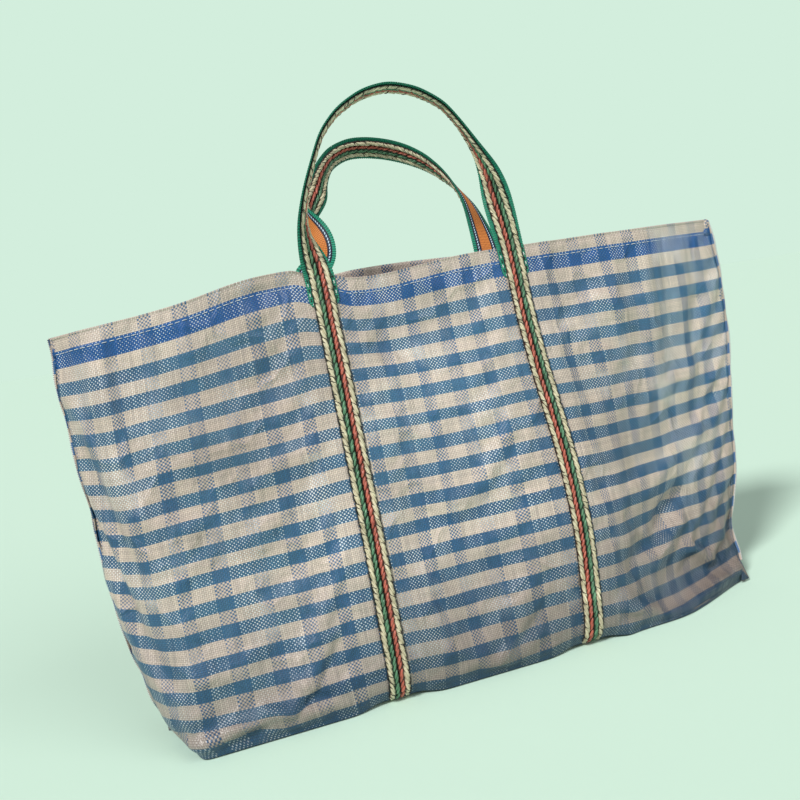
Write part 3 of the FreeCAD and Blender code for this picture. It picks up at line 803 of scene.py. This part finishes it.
class Ribbon:
    """A strap's whole way: up one side of the bag, over the handle and down the other side."""

    def __init__(self, side):
        leg = strap_leg(side)
        left = np.stack([np.full(len(leg), -STRAP_X), leg[:, 0], leg[:, 1]], -1)
        right = sway(left * (-1, 1, 1))[::-1]
        arch, arch_across = (line[JOIN:-JOIN] for line in handle_line(side))
        points = np.concatenate([left, arch, right])
        outwards = np.array([1.0, 0.0, 0.0])
        across = np.concatenate([np.tile(-outwards, (len(left), 1)), arch_across,
                                 np.tile(outwards, (len(right), 1))])
        lengths = distances(points)
        at = np.arange(0, lengths[-1], 1.0)
        self.points = blur(resample(at, lengths, points), STRAP_ROUNDING)
        along = unit(np.gradient(self.points, axis=0))
        across = blur(resample(at, lengths, across), TURN_ROUNDING)
        self.across = unit(across - (across * along).sum(-1, keepdims=True) * along)
        self.face = unit(-side * np.cross(along, self.across))
        self.at = distances(self.points)
        self.length = self.at[-1]
        above = np.nonzero(self.points[:, 2] > HINGE_Z)[0]
        self.fold = self.at[above[0]], self.at[above[-1]]

    def place(self, stn):
        """Points from distances along, across and out of the strap."""
        stn = np.asarray(stn, float)
        middle, across, face = (resample(stn[..., 0], self.at, values)
                                for values in (self.points, self.across, self.face))
        return middle + across * stn[..., 1:2] + face * stn[..., 2:3]


LOBE_RINGS = (-0.97, -0.8, -0.45, 0.0, 0.45, 0.8, 0.97)
LOBE_SIDES = 8
LOBE_FULLNESS, LOBE_BLUNTNESS = 2.4, 0.6  # powers that shape its ends
LOBE_LIFT, LOBE_ARCH, LOBE_TIP = 0.35, 0.9, -0.6  # a lobe's middle, its arch, and its dipping ends


class Collector:
    """Gathers small meshes into one piece."""

    def __init__(self):
        self.points, self.faces, self.materials, self.uv = [], [], [], []
        self.count = 0

    def add(self, points, faces, material, uv):
        self.points.append(points)
        self.faces += [[self.count + k for k in face] for face in faces]
        self.materials += [material] * len(faces)
        self.uv += [pair for face_uv in uv for pair in face_uv]
        self.count += len(points)

    def build(self, name, materials):
        return new_piece(name, np.concatenate(self.points), self.faces, materials, self.materials, self.uv)


def ring_faces(rings, sides):
    """Faces of an open tube, and the ring and side of each of their corners."""
    faces, corners = [], []
    for r in range(rings - 1):
        for k in range(sides):
            after = (k + 1) % sides
            faces.append((r * sides + k, r * sides + after, (r + 1) * sides + after, (r + 1) * sides + k))
            corners.append(((r, k), (r, k + 1), (r + 1, k + 1), (r + 1, k)))
    return faces, corners


def tube_faces(rings, sides):
    """The same with a point at each end: ring points first, then the two ends."""
    faces, corners = ring_faces(rings, sides)
    start, end, top = rings * sides, rings * sides + 1, (rings - 1) * sides
    for k in range(sides):
        after = (k + 1) % sides
        faces += [(start, after, k), (end, top + k, top + after)]
        corners.append(((-0.5, k + 0.5), (0, k + 1), (0, k)))
        corners.append(((rings - 0.5, k + 0.5), (rings - 1, k), (rings - 1, k + 1)))
    return faces, corners


def circle(sides):
    """The cosine and sine of each corner of a ring, as columns."""
    turns = 2 * math.pi * np.arange(sides)[:, None] / sides
    return np.cos(turns), np.sin(turns)


LOBE_FACES, LOBE_CORNERS = tube_faces(len(LOBE_RINGS), LOBE_SIDES)


def add_lobe(collector, ribbon, centre, reach, half_width, half_thick, material, number):
    """One strand's visible lobe: a long flattened bead from centre - reach to centre + reach.

    Its U runs from number to number + 1 along it, its V from 0 to 1 round it.
    """
    centre, reach = np.array(centre), np.array(reach)
    sideways = unit(np.array([-reach[1], reach[0], 0.0]))
    up = np.array([0, 0, 1.0])
    q = np.array(LOBE_RINGS)[:, None]
    middle = centre + reach * q + up * (LOBE_LIFT - LOBE_ARCH * q * q)
    girth = (1 - np.abs(q) ** LOBE_FULLNESS) ** LOBE_BLUNTNESS
    cosine, sine = circle(LOBE_SIDES)
    ring = sideways * cosine * half_width + up * sine * half_thick
    rings = (middle[:, None] + ring * girth[..., None]).reshape(-1, 3)
    points = np.vstack([rings, centre - reach + up * LOBE_TIP, centre + reach + up * LOBE_TIP])
    last = len(LOBE_RINGS) - 1
    uv = [[(number + 0.02 + 0.96 * r / last, k / LOBE_SIDES) for r, k in face] for face in LOBE_CORNERS]
    collector.add(ribbon.place(points), LOBE_FACES, material, uv)


PITCH = 5.8  # from one lobe of a column to the next
LOBES = {  # half length, half width, inset of its middle line, half thickness
    "colour": (4.6, 1.3, 0.75, 1.35),
    "cream": (6.6, 1.55, 0.5, 1.45),
}


def add_column(collector, ribbon, rng, low, high, slant, material, kind):
    """A column of overlapping lobes between two distances across the strap."""
    middle = (low + high) / 2
    half_length, half_width, inset, half_thick = LOBES[kind]
    for k in range(int(ribbon.length // PITCH)):
        pair = PAIRING if k % 2 else -PAIRING
        s = (k + 0.5) * PITCH + pair + rng.uniform(-STRAY[0], STRAY[0])
        half = half_length * rng.uniform(SHORTEST, LONGEST)
        if s - half < 0.5 or s + half > ribbon.length - 0.5:
            continue
        reach = (half, slant * ((high - low) / 2 - inset), 0.0)
        across = middle + rng.uniform(-STRAY[1], STRAY[1])
        centre = (s, across, BRAID_MIDDLE + rng.uniform(-STRAY[2], STRAY[2]))
        width = half_width * rng.uniform(THINNEST, THICKEST)
        add_lobe(collector, ribbon, centre, reach, width, half_thick, material, k)


def add_core(collector, ribbon, low, high, material):
    """The braid's flat underside, seen only between the lobes, in the straw's painted shade colour."""
    stations = np.arange(0, ribbon.length, 3.0)
    outline = [(low, 0.05), (high, 0.05), (high - 0.5, 1.3), (low + 0.5, 1.3)]
    points = np.array([(s, t, n) for s in stations for t, n in outline])
    faces = [(0, 1, 2, 3), tuple(len(points) - k for k in (1, 2, 3, 4))]
    # UV (0, 0) reads as a lobe's end, so the underside takes the painted shade colour
    uv = [[(0.0, 0.0)] * 4] * 2
    for r in range(len(stations) - 1):
        for k in range(4):
            after = (k + 1) % 4
            faces.append((4 * r + k, 4 * r + 4 + k, 4 * r + 4 + after, 4 * r + after))
            uv.append([(0.0, 0.0)] * 4)
    collector.add(ribbon.place(points), faces, material, uv)


def make_braid(name, ribbon, seed, colour, sign):
    """One of a strap's two braids: a coloured column beside the strap's middle, cream outside it."""
    rng = random.Random(seed)
    collector = Collector()
    inner = (0.05, COLUMN)
    outer = (COLUMN - 0.1, BRAID_EDGE - 0.1)
    if sign < 0:
        inner, outer = (-inner[1], -inner[0]), (-outer[1], -outer[0])
    add_core(collector, ribbon, min(inner[0], outer[0]), max(inner[1], outer[1]), 0)
    add_column(collector, ribbon, rng, *inner, -1, 0, "colour")
    add_column(collector, ribbon, rng, *outer, 1, 1, "cream")
    return collector.build(name, [colour, CREAM])


THREAD_RADIUS, CROSSING_RADIUS, STITCH_RADIUS, HEM_STITCH_RADIUS = 0.4, 0.36, 0.42, 0.26
THREAD_SIDES = 5
CROSSING_HEIGHT = 2.05  # how far a crossing thread climbs over the cream strands
CROSSING_GAP = 4.6  # between the two threads of a doubled crossing
CROSSING_MARGIN = 8.0  # at both ends of the strap
DOUBLED, CLOSE = 0.25, 0.85  # shares of the crossings that are doubled, and that have the next one close


def add_tube(collector, place, line, radius, material=0):
    """A round thread through points, with pointed ends. place turns its points into the bag's frame."""
    line = np.array(line, float)
    run = unit(np.gradient(line, axis=0))
    up = np.tile((0.0, 0.0, 1.0), (len(line), 1))
    steep = np.abs(run[:, 2]) > 0.9
    up[steep] = (1.0, 0.0, 0.0)
    side = unit(np.cross(run, up))
    top = np.cross(side, run)
    cosine, sine = circle(THREAD_SIDES)
    rings = line[:, None] + (side[:, None] * cosine + top[:, None] * sine) * radius
    points = np.vstack([rings.reshape(-1, 3), line[0] - run[0] * radius, line[-1] + run[-1] * radius])
    faces, corners = tube_faces(len(line), THREAD_SIDES)
    step = np.linalg.norm(line[1] - line[0]) * MM
    uv = [[(r * step, k * radius * MM) for r, k in face] for face in corners]
    collector.add(place(points), faces, material, uv)


def crossing_thread(start, slope, sign):
    """The way of a thread from the strap's edge over its cream strands."""
    knots = []
    for share in (0.0, 0.25, 0.5, 0.75, 1.0):
        t = sign * (BRAID_EDGE + 0.2 - share * COLUMN)
        lift = 1.0 + CROSSING_HEIGHT * math.sin(math.pi * min(1.0, 0.14 + share * 0.72))
        knots.append((start + t * slope, t, lift))
    return knots


def make_edge_threads(name, ribbon, seed):
    """The black thread along both edges of a strap, and where it crosses the cream strands."""
    rng = random.Random(seed)
    collector = Collector()
    stations = np.arange(1.0, ribbon.length - 1.0, 1.5)
    for sign in (-1, 1):
        wave = 0.35 * np.sin(stations * math.pi / PITCH + sign)
        line = np.stack([stations, sign * (BRAID_EDGE + 0.35 + wave), 1.0 + 0.3 * wave], -1)
        add_tube(collector, ribbon.place, line, THREAD_RADIUS)
        s = CROSSING_MARGIN
        while s < ribbon.length - CROSSING_MARGIN:
            repeats = (0.0, CROSSING_GAP) if rng.random() < DOUBLED else (0.0,)
            for extra in repeats:
                knots = crossing_thread(s + extra, rng.uniform(0.55, 0.95), sign)
                if min(knots[0][0], knots[-1][0]) > 2 and max(knots[0][0], knots[-1][0]) < ribbon.length - 2:
                    add_tube(collector, ribbon.place, knots, CROSSING_RADIUS)
            s += 2 * PITCH * (1 if rng.random() < CLOSE else 2)
    return collector.build(name, [BLACK])


# The tape's columns, as shares of its half width, and its ribbed borders
TAPE_SHARES = np.array([-1, -0.97, -0.9, -0.82, -0.76, -0.6, -0.3, 0, 0.3, 0.6, 0.76, 0.82, 0.9, 0.97, 1])
TAPE_STEP = 0.55
SCALLOP = 0.22  # how far each rib stands out of the tape's edge
BORDER_FROM, BORDER_EASE = 10.1, 0.8
EDGE_THINNING = 0.45


def make_tape(name, ribbon):
    """The woven tape that backs a handle and is sewn to the panel below the rim at both ends."""
    start, end = ribbon.fold[0] - TAPE_END, ribbon.fold[1] + TAPE_END
    stations = np.arange(start, end, TAPE_STEP)
    near_end = np.minimum(stations - start, end - stations)
    into_corner = np.maximum(TAPE_RADIUS - near_end, 0)
    inset = TAPE_RADIUS - np.sqrt(np.maximum(TAPE_RADIUS ** 2 - into_corner ** 2, 0))
    scallop = SCALLOP * np.cos(stations * 2 * math.pi / TAPE_RIB)
    half = TAPE_HALF - inset + scallop * (near_end > 1)
    t = half[:, None] * TAPE_SHARES[None]
    s = np.broadcast_to(stations[:, None], t.shape)
    border = smoothstep((np.abs(TAPE_SHARES) * TAPE_HALF - BORDER_FROM) / BORDER_EASE)
    rib = border[None] * scallop[:, None] * 0.9
    edge = (np.abs(TAPE_SHARES) > 0.98) * EDGE_THINNING
    top = np.stack([s, t, np.broadcast_to(-0.05 - edge, t.shape) + rib], -1)
    under = np.stack([s, t, np.broadcast_to(-TAPE_THICK + edge, t.shape) + rib * 0.6], -1)
    points = ribbon.place(np.concatenate([top.reshape(-1, 3), under.reshape(-1, 3)]))
    size = t.size
    top_faces = grid_faces(*t.shape)[:, ::-1]
    under_faces = grid_faces(*t.shape, size)
    index = np.arange(size).reshape(t.shape)
    rim = []
    for line, way in ((index[:, 0], 1), (index[:, -1], -1), (index[0], -1), (index[-1], 1)):
        for pair in zip(line[:-1], line[1:]):
            a, b = pair[::way]
            rim.append((a, b, b + size, a + size))
    faces = np.concatenate([top_faces, under_faces, np.array(rim)])
    uv = np.tile(np.stack([s, t], -1).reshape(-1, 2), (2, 1))[faces.ravel()] * MM
    kinds = [0] * len(top_faces) + [1] * len(under_faces) + [0] * len(rim)
    return new_piece(name, points, faces, [TAPE_FACE, TAPE_BACK], kinds, uv)


STITCHES = 6  # down each side of a tape's end
STITCH_PITCH, STITCH_LENGTH, STITCH_FIRST = 4.6, 2.8, 4.0
STITCH_INSET, LAST_INSET, LAST_SLANT = 1.9, 1.6, 0.8
STITCH_UNDER, STITCH_OVER = -0.2, 0.3


def make_tape_stitches(name, ribbon):
    """Short stitches round each sewn end of the tape, alternately black and white."""
    collector = Collector()
    for fold, direction in ((ribbon.fold[0], -1), (ribbon.fold[1], 1)):
        for sign in (-1, 1):
            for k in range(STITCHES):
                last = k == STITCHES - 1
                near = fold + direction * (STITCH_FIRST + STITCH_PITCH * k)
                far = near + direction * STITCH_LENGTH
                t = sign * (TAPE_HALF - STITCH_INSET - last * LAST_INSET)
                line = [(near, t, STITCH_UNDER), (near * 0.75 + far * 0.25, t, STITCH_OVER),
                        (near * 0.25 + far * 0.75, t, STITCH_OVER),
                        (far, t - sign * last * LAST_SLANT, STITCH_UNDER)]
                add_tube(collector, ribbon.place, line, STITCH_RADIUS, k % 2)
    return collector.build(name, [BLACK, WHITE])


# ---------------------------------------------------------------- trim on the cloth
# The hem's rounded fold: out of the wall, up, and along the pattern. Then how far down its layer goes.
HEM_FOLD = ((-0.1, -1.2, 1.2), (0.15, 0.0, 0.0), (-0.2, 0.7, 0.8), (-1.0, 0.9, 1.8), (-1.8, 0.3, 2.8))
HEM_DEPTHS = (1.5, 4.0, 8.0, 12.0, HEM)
HEM_BEHIND, HEM_EDGE_BEHIND, HEM_TURN = 1.9, 1.2, 3.0
HEM_LINE = HEM - 2.0  # the stitches' distance below the rim
HEM_STITCH_PITCH, HEM_STITCH = 6.4, 4.4
HEM_STITCH_ALONG = np.array([0.0, 0.2, 0.8, 1.0])  # shares of a stitch, and how far out of the cloth
HEM_STITCH_OUT = np.array([-0.3, 0.25, 0.25, -0.3])


def row_at(grid, v):
    """The wall's line at a distance below the rim, one point to a column."""
    below = (RIM - HEIGHTS)[::-1]
    flipped = grid[::-1]
    k = int(np.clip(np.searchsorted(below, v) - 1, 0, len(below) - 2))
    share = (v - below[k]) / (below[k + 1] - below[k])
    return flipped[k] * (1 - share) + flipped[k + 1] * share


def make_hem(name, grid, side):
    """The turned-in layer at the mouth, with the rounded fold at the rim."""
    outward = unit(blur(grid_normals(grid, side)[-1], 2.0))
    up = np.array([0.0, 0.0, 1.0])
    rim = row_at(grid, 0.0)
    lines = [rim + outward * out + up * rise for out, rise, down in HEM_FOLD]
    lines += [row_at(grid, v) - outward * (HEM_BEHIND if v < HEM else HEM_EDGE_BEHIND) for v in HEM_DEPTHS]
    v_rows = [down for out, rise, down in HEM_FOLD] + [HEM_TURN + v for v in HEM_DEPTHS]
    faces, uv = wall_faces(v_rows, side)
    piece = new_piece(name, np.concatenate(lines), faces, [CLOTH], corner_uv=uv)
    thicken(piece, HEM_THICK, 0)
    return piece


def make_hem_stitches(name, grid, side):
    """The row of white stitches that holds the hem, hidden where a strap covers it."""
    collector = Collector()
    outward = unit(grid_normals(grid, side)[-3])
    line = row_at(grid, HEM_LINE) + outward * 0.15
    lengths = distances(line)
    for k in range(int(lengths[-1] // HEM_STITCH_PITCH)):
        at = (k + 0.3) * HEM_STITCH_PITCH + HEM_STITCH * HEM_STITCH_ALONG
        push = resample(at, lengths, outward) * HEM_STITCH_OUT[:, None]
        points = resample(at, lengths, line) + push
        if abs(abs(points[0, 0]) - STRAP_X) > TAPE_HALF + 1:
            add_tube(collector, lambda p: p, points, HEM_STITCH_RADIUS)
    return collector.build(name, [WHITE])


SEAM_FOOT = 16.0
SEAM_HALF = 0.75
# Height, length and start of the waves that the seam makes forwards and back, and in its width
SEAM_WAVES = ((1.1, 21.0, 0.0), (0.7, 9.0, 1.0))
SEAM_WIDTH_WAVES = ((0.5, 13.0, 0.0), (0.3, 5.3, 0.0))
SEAM_OUTLINE = ((-0.1, 0.9), (0.15, 1.0), (0.5, 0.85), (0.85, 0.9), (1.0, 0.5))  # shares: out, thick


def waves(z, table):
    return sum(height * np.sin(z / length + start) for height, length, start in table)


def seam_line(grids, end):
    """The line where the two walls meet at the left or the right, from the foot up."""
    column = 0 if end < 0 else -1
    return (grids["front"][:, column] + grids["back"][:, column]) / 2


def make_seam(name, grids, end):
    """The selvage strip left outside a side seam: both layers, sewn and a little wavy."""
    line = seam_line(grids, end)
    line = line[line[:, 2] > SEAM_FOOT]
    z = line[:, 2]
    wave = waves(z, SEAM_WAVES)
    width = SELVAGE_WIDTH[end] + waves(z, SEAM_WIDTH_WAVES)
    outline = SEAM_OUTLINE + tuple((share, -thick) for share, thick in SEAM_OUTLINE[::-1])
    share, thick = np.array(outline).T
    x = line[:, :1] + end * share * width[:, None]
    y = line[:, 1:2] + thick * SEAM_HALF + wave[:, None] * share
    points = np.stack([x, y, np.broadcast_to(z[:, None], x.shape)], -1).reshape(-1, 3)
    sides = len(outline)
    faces, corners = ring_faces(len(line), sides)
    faces, corners = ([each[::end] for each in group] for group in (faces, corners))
    uv = [((RIM - z[r]) * MM, outline[k % sides][0]) for face in corners for r, k in face]
    faces += [tuple(range(sides)), tuple(range(len(points) - sides, len(points)))]
    uv += [(0.0, 0.0)] * 2 * sides
    return new_piece(name, points, faces, [SELVAGE], corner_uv=uv)


EAR_HEIGHTS = np.linspace(2.2, 30.0, 9)
EAR_SHARES = np.linspace(0, 1, 8)  # from the walls out to the tip
EAR_TIP, EAR_INSET, EAR_HALF = 3.2, 6.0, 5.5
EAR_BULGE, EAR_CRUMPLE = 1.4, 0.9
EAR_PATTERN = 20.0


def make_ear(name, grids, end):
    """The boxed corner's folded tip: both walls drawn out to a soft point beside the floor."""
    seam = seam_line(grids, end)
    base = resample(EAR_HEIGHTS, seam[:, 2], seam)
    tip = np.array([base[0, 0] + end * EAR_REACH[end], base[0, 1] + EAR_FORWARD[end], EAR_TIP])
    level = np.arange(len(EAR_HEIGHTS))[:, None]
    bulge = EAR_BULGE * np.sin(math.pi * EAR_SHARES)
    fold = EAR_CRUMPLE * np.sin(level * 1.3 + EAR_SHARES * 5.0)
    share = EAR_SHARES[:, None]
    layers = []
    for side in (-1, 1):
        root = np.stack([base[:, 0] - end * EAR_INSET, base[:, 1] + side * EAR_HALF, EAR_HEIGHTS], -1)
        sheet = root[:, None] * (1 - share) + tip * share
        sheet[..., 1] += side * (bulge + fold * 0.5) * (1 - EAR_SHARES)
        layers.append(sheet)
    ring = np.concatenate([layers[0], layers[1][:, ::-1]], axis=1)
    faces = grid_faces(*ring.shape[:2])
    if end < 0:
        faces = faces[:, ::-1]
    uv = np.zeros(ring.shape[:2] + (2,))
    uv[..., 0] = np.concatenate([EAR_SHARES, EAR_SHARES[::-1]])[None] * EAR_PATTERN
    uv[..., 1] = (RIM - EAR_HEIGHTS)[:, None]
    uv = uv.reshape(-1, 2)[faces.ravel()] * MM
    piece = new_piece(name, ring.reshape(-1, 3), faces, [CLOTH], corner_uv=uv)
    round_off(piece)
    thicken(piece, EAR_THICK, -1)
    return piece


BOTTOM_ROWS = 26
BOTTOM_OVER_STRAP = 4.2
BOTTOM_SAG, BOTTOM_SPREAD = 3.2, 1.3  # how far it sags, and how soon from the foot inwards
BOTTOM_WAVE, BOTTOM_WAVE_LENGTH, BOTTOM_WAVE_SLANT = 0.5, 19.0, 6.0
BOTTOM_OVERLAP, BOTTOM_EASE = 2, 26.0  # the cloth leaves the strap inside its edge, over this width
BOTTOM_LEFT, BOTTOM_RIGHT, BOTTOM_END = -288.0, 308.0, 30.0  # no sag at the ends
BOTTOM_PATTERN = 500.0  # keeps the bottom's pattern clear of the hem's


def make_bottom(grids):
    """The bottom cloth: up over the straps, down on the floor between them."""
    rows = []
    for share in np.arange(BOTTOM_ROWS + 1) / BOTTOM_ROWS:
        row = grids["front"][0] * (1 - share) + grids["back"][0] * share
        x = row[:, 0]
        off_strap = smoothstep((np.abs(np.abs(x) - STRAP_X) - TAPE_HALF + BOTTOM_OVERLAP) / BOTTOM_EASE)
        inside = math.sin(math.pi * share) ** 0.5 if 0 < share < 1 else 0.0
        ends = smoothstep((x - BOTTOM_LEFT) / BOTTOM_END) * smoothstep((BOTTOM_RIGHT - x) / BOTTOM_END)
        sag = BOTTOM_SAG + BOTTOM_WAVE * np.sin(x / BOTTOM_WAVE_LENGTH + share * BOTTOM_WAVE_SLANT)
        row[:, 2] = BOTTOM_OVER_STRAP - sag * off_strap * ends * min(1.0, inside * BOTTOM_SPREAD)
        rows.append(row)
    grid = np.array(rows)
    faces = grid_faces(*grid.shape[:2])[:, ::-1]
    uv = (grid[..., :2] + (0.0, BOTTOM_PATTERN)).reshape(-1, 2)[faces.ravel()] * MM
    piece = new_piece("bottom_cloth", grid.reshape(-1, 3), faces, [CLOTH], corner_uv=uv)
    thicken(piece, BOTTOM_THICK, 0)
    return piece


def bend_with_handle(piece):
    """Bakes the piece's placement into its mesh."""
    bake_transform(piece)


def make_straps(name, side):
    ribbon = Ribbon(side)
    seed = 10 + side
    green = make_braid(f"{name}_green_braid", ribbon, seed, GREEN, 1)
    red = make_braid(f"{name}_red_braid", ribbon, seed + 20, RED, -1)
    threads = make_edge_threads(f"{name}_edge_threads", ribbon, seed + 40)
    tape = make_tape(f"{name}_woven_tape", ribbon)
    stitches = make_tape_stitches(f"{name}_tape_end_stitches", ribbon)
    made = (
        (green, "green_braid", ["left_strap_green_braid", "right_strap_green_braid",
                                f"{name}_handle_green_braid"]),
        (red, "red_braid", ["left_strap_red_braid", "right_strap_red_braid", f"{name}_handle_red_braid"]),
        (threads, "black_thread", ["left_strap_left_thread", "left_strap_right_thread",
                                   "right_strap_left_thread", "right_strap_right_thread",
                                   f"{name}_handle_edge_threads"]),
        (tape, "woven_tape", [f"{name}_handle_tape", f"{name}_left_tape_end", f"{name}_right_tape_end"]),
        (stitches, "black_thread", [f"{name}_tape_stitches"]),
    )
    for piece, slot, nodes in made:
        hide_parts(*nodes)
        bend_with_handle(piece)


def make_bag():
    grids, walls = {}, {}
    for name, side in SIDES.items():
        walls[name], grids[name] = make_wall(f"{name}_cloth", side)
    rides = []
    for name, side in SIDES.items():
        hem = make_hem(f"{name}_hem_fold", grids[name], side)
        stitches = make_hem_stitches(f"{name}_hem_stitching", grids[name], side)
        rides.append((walls[name], "checked_cloth", f"{name}_panel"))
        rides.append((hem, "checked_cloth", f"{name}_hem"))
        rides.append((stitches, "white_thread", f"{name}_hem_stitches"))
    for name, end in (("left", -1), ("right", 1)):
        seam = make_seam(f"{name}_selvage", grids, end)
        ear = make_ear(f"{name}_corner_tip", grids, end)
        rides.append((seam, "selvage", f"{name}_side_seam"))
        rides.append((ear, "checked_cloth", f"{name}_corner_ear"))
    bottom = make_bottom(grids)
    rides.append((bottom, "checked_cloth", "bottom_panel"))
    for piece, slot, node in rides:
        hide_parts(node)
        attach(piece, "bag")
    for name in SIDES:
        hem = bpy.data.objects[f"{name}_hem_fold"]
    for name, side in SIDES.items():
        make_straps(name, side)


# ---------------------------------------------------------------- floor, light and camera
FLOOR_REACH = 40.0 / MM


def make_floor():
    recipe = Recipe("pale_floor", 0.0)
    ways = ((-1, -1), (1, -1), (1, 1), (-1, 1))
    corners = [(x * FLOOR_REACH, y * FLOOR_REACH, 0) for x, y in ways]
    floor = new_piece("floor", corners, [(0, 1, 2, 3)], [recipe.finish(srgb(*BACKDROP), 1.0)])


def add_sun(name, towards, angle, power, colour):
    """A far, soft light, so that the floor is lit the same everywhere. towards points at it."""
    data = bpy.data.lights.new(name, "SUN")
    data.angle = math.radians(angle)
    data.energy = power
    data.color = colour
    light = bpy.data.objects.new(name, data)
    light.rotation_euler = Vector(towards).to_track_quat("Z", "Y").to_euler()
    bpy.context.scene.collection.objects.link(light)


def make_light():
    add_sun("key", (-0.62, -0.55, 0.72), 12.0, 2.72, (1.0, 0.99, 0.975))
    add_sun("fill", (0.5, -0.75, 0.6), 45.0, 0.85, (1.0, 0.99, 0.985))
    world = bpy.data.worlds.new("studio")
    world.use_nodes = True
    bpy.context.scene.world = world
    tree = world.node_tree
    seen = tree.nodes["Background"]
    seen.inputs["Color"].default_value = srgb(*BACKDROP)
    seen.inputs["Strength"].default_value = 1.0
    ambient = tree.nodes.new("ShaderNodeBackground")
    ambient.inputs["Color"].default_value = (0.94, 0.97, 0.95, 1)
    ambient.inputs["Strength"].default_value = 0.3
    rays = tree.nodes.new("ShaderNodeLightPath")
    mixer = tree.nodes.new("ShaderNodeMixShader")
    tree.links.new(rays.outputs["Is Camera Ray"], mixer.inputs[0])
    tree.links.new(ambient.outputs[0], mixer.inputs[1])
    tree.links.new(seen.outputs[0], mixer.inputs[2])
    tree.links.new(mixer.outputs[0], tree.nodes["World Output"].inputs["Surface"])
    bpy.context.scene.view_settings.view_transform = "Standard"


CAMERA_YAW, CAMERA_RISE, CAMERA_ROLL = 16.25, 5.9, -9.15
CAMERA_DISTANCE = 0.835
CAMERA_LENS = 38.75
CAMERA_TARGET = Vector((-0.0305, 0.0, 0.2617))


def make_camera():
    yaw, rise, roll = (math.radians(a) for a in (CAMERA_YAW, CAMERA_RISE, CAMERA_ROLL))
    away = Vector((-math.sin(yaw) * math.cos(rise), -math.cos(yaw) * math.cos(rise), math.sin(rise)))
    turn = away.to_track_quat("Z", "Y").to_matrix() @ Matrix.Rotation(roll, 3, "Z")
    data = bpy.data.cameras.new("camera")
    data.lens = CAMERA_LENS
    data.sensor_width = 36.0
    camera = bpy.data.objects.new("camera", data)
    camera.matrix_world = Matrix.Translation(CAMERA_TARGET + away * CAMERA_DISTANCE) @ turn.to_4x4()
    bpy.context.scene.collection.objects.link(camera)
    bpy.context.scene.camera = camera


make_bag()
make_floor()
make_light()
make_camera()
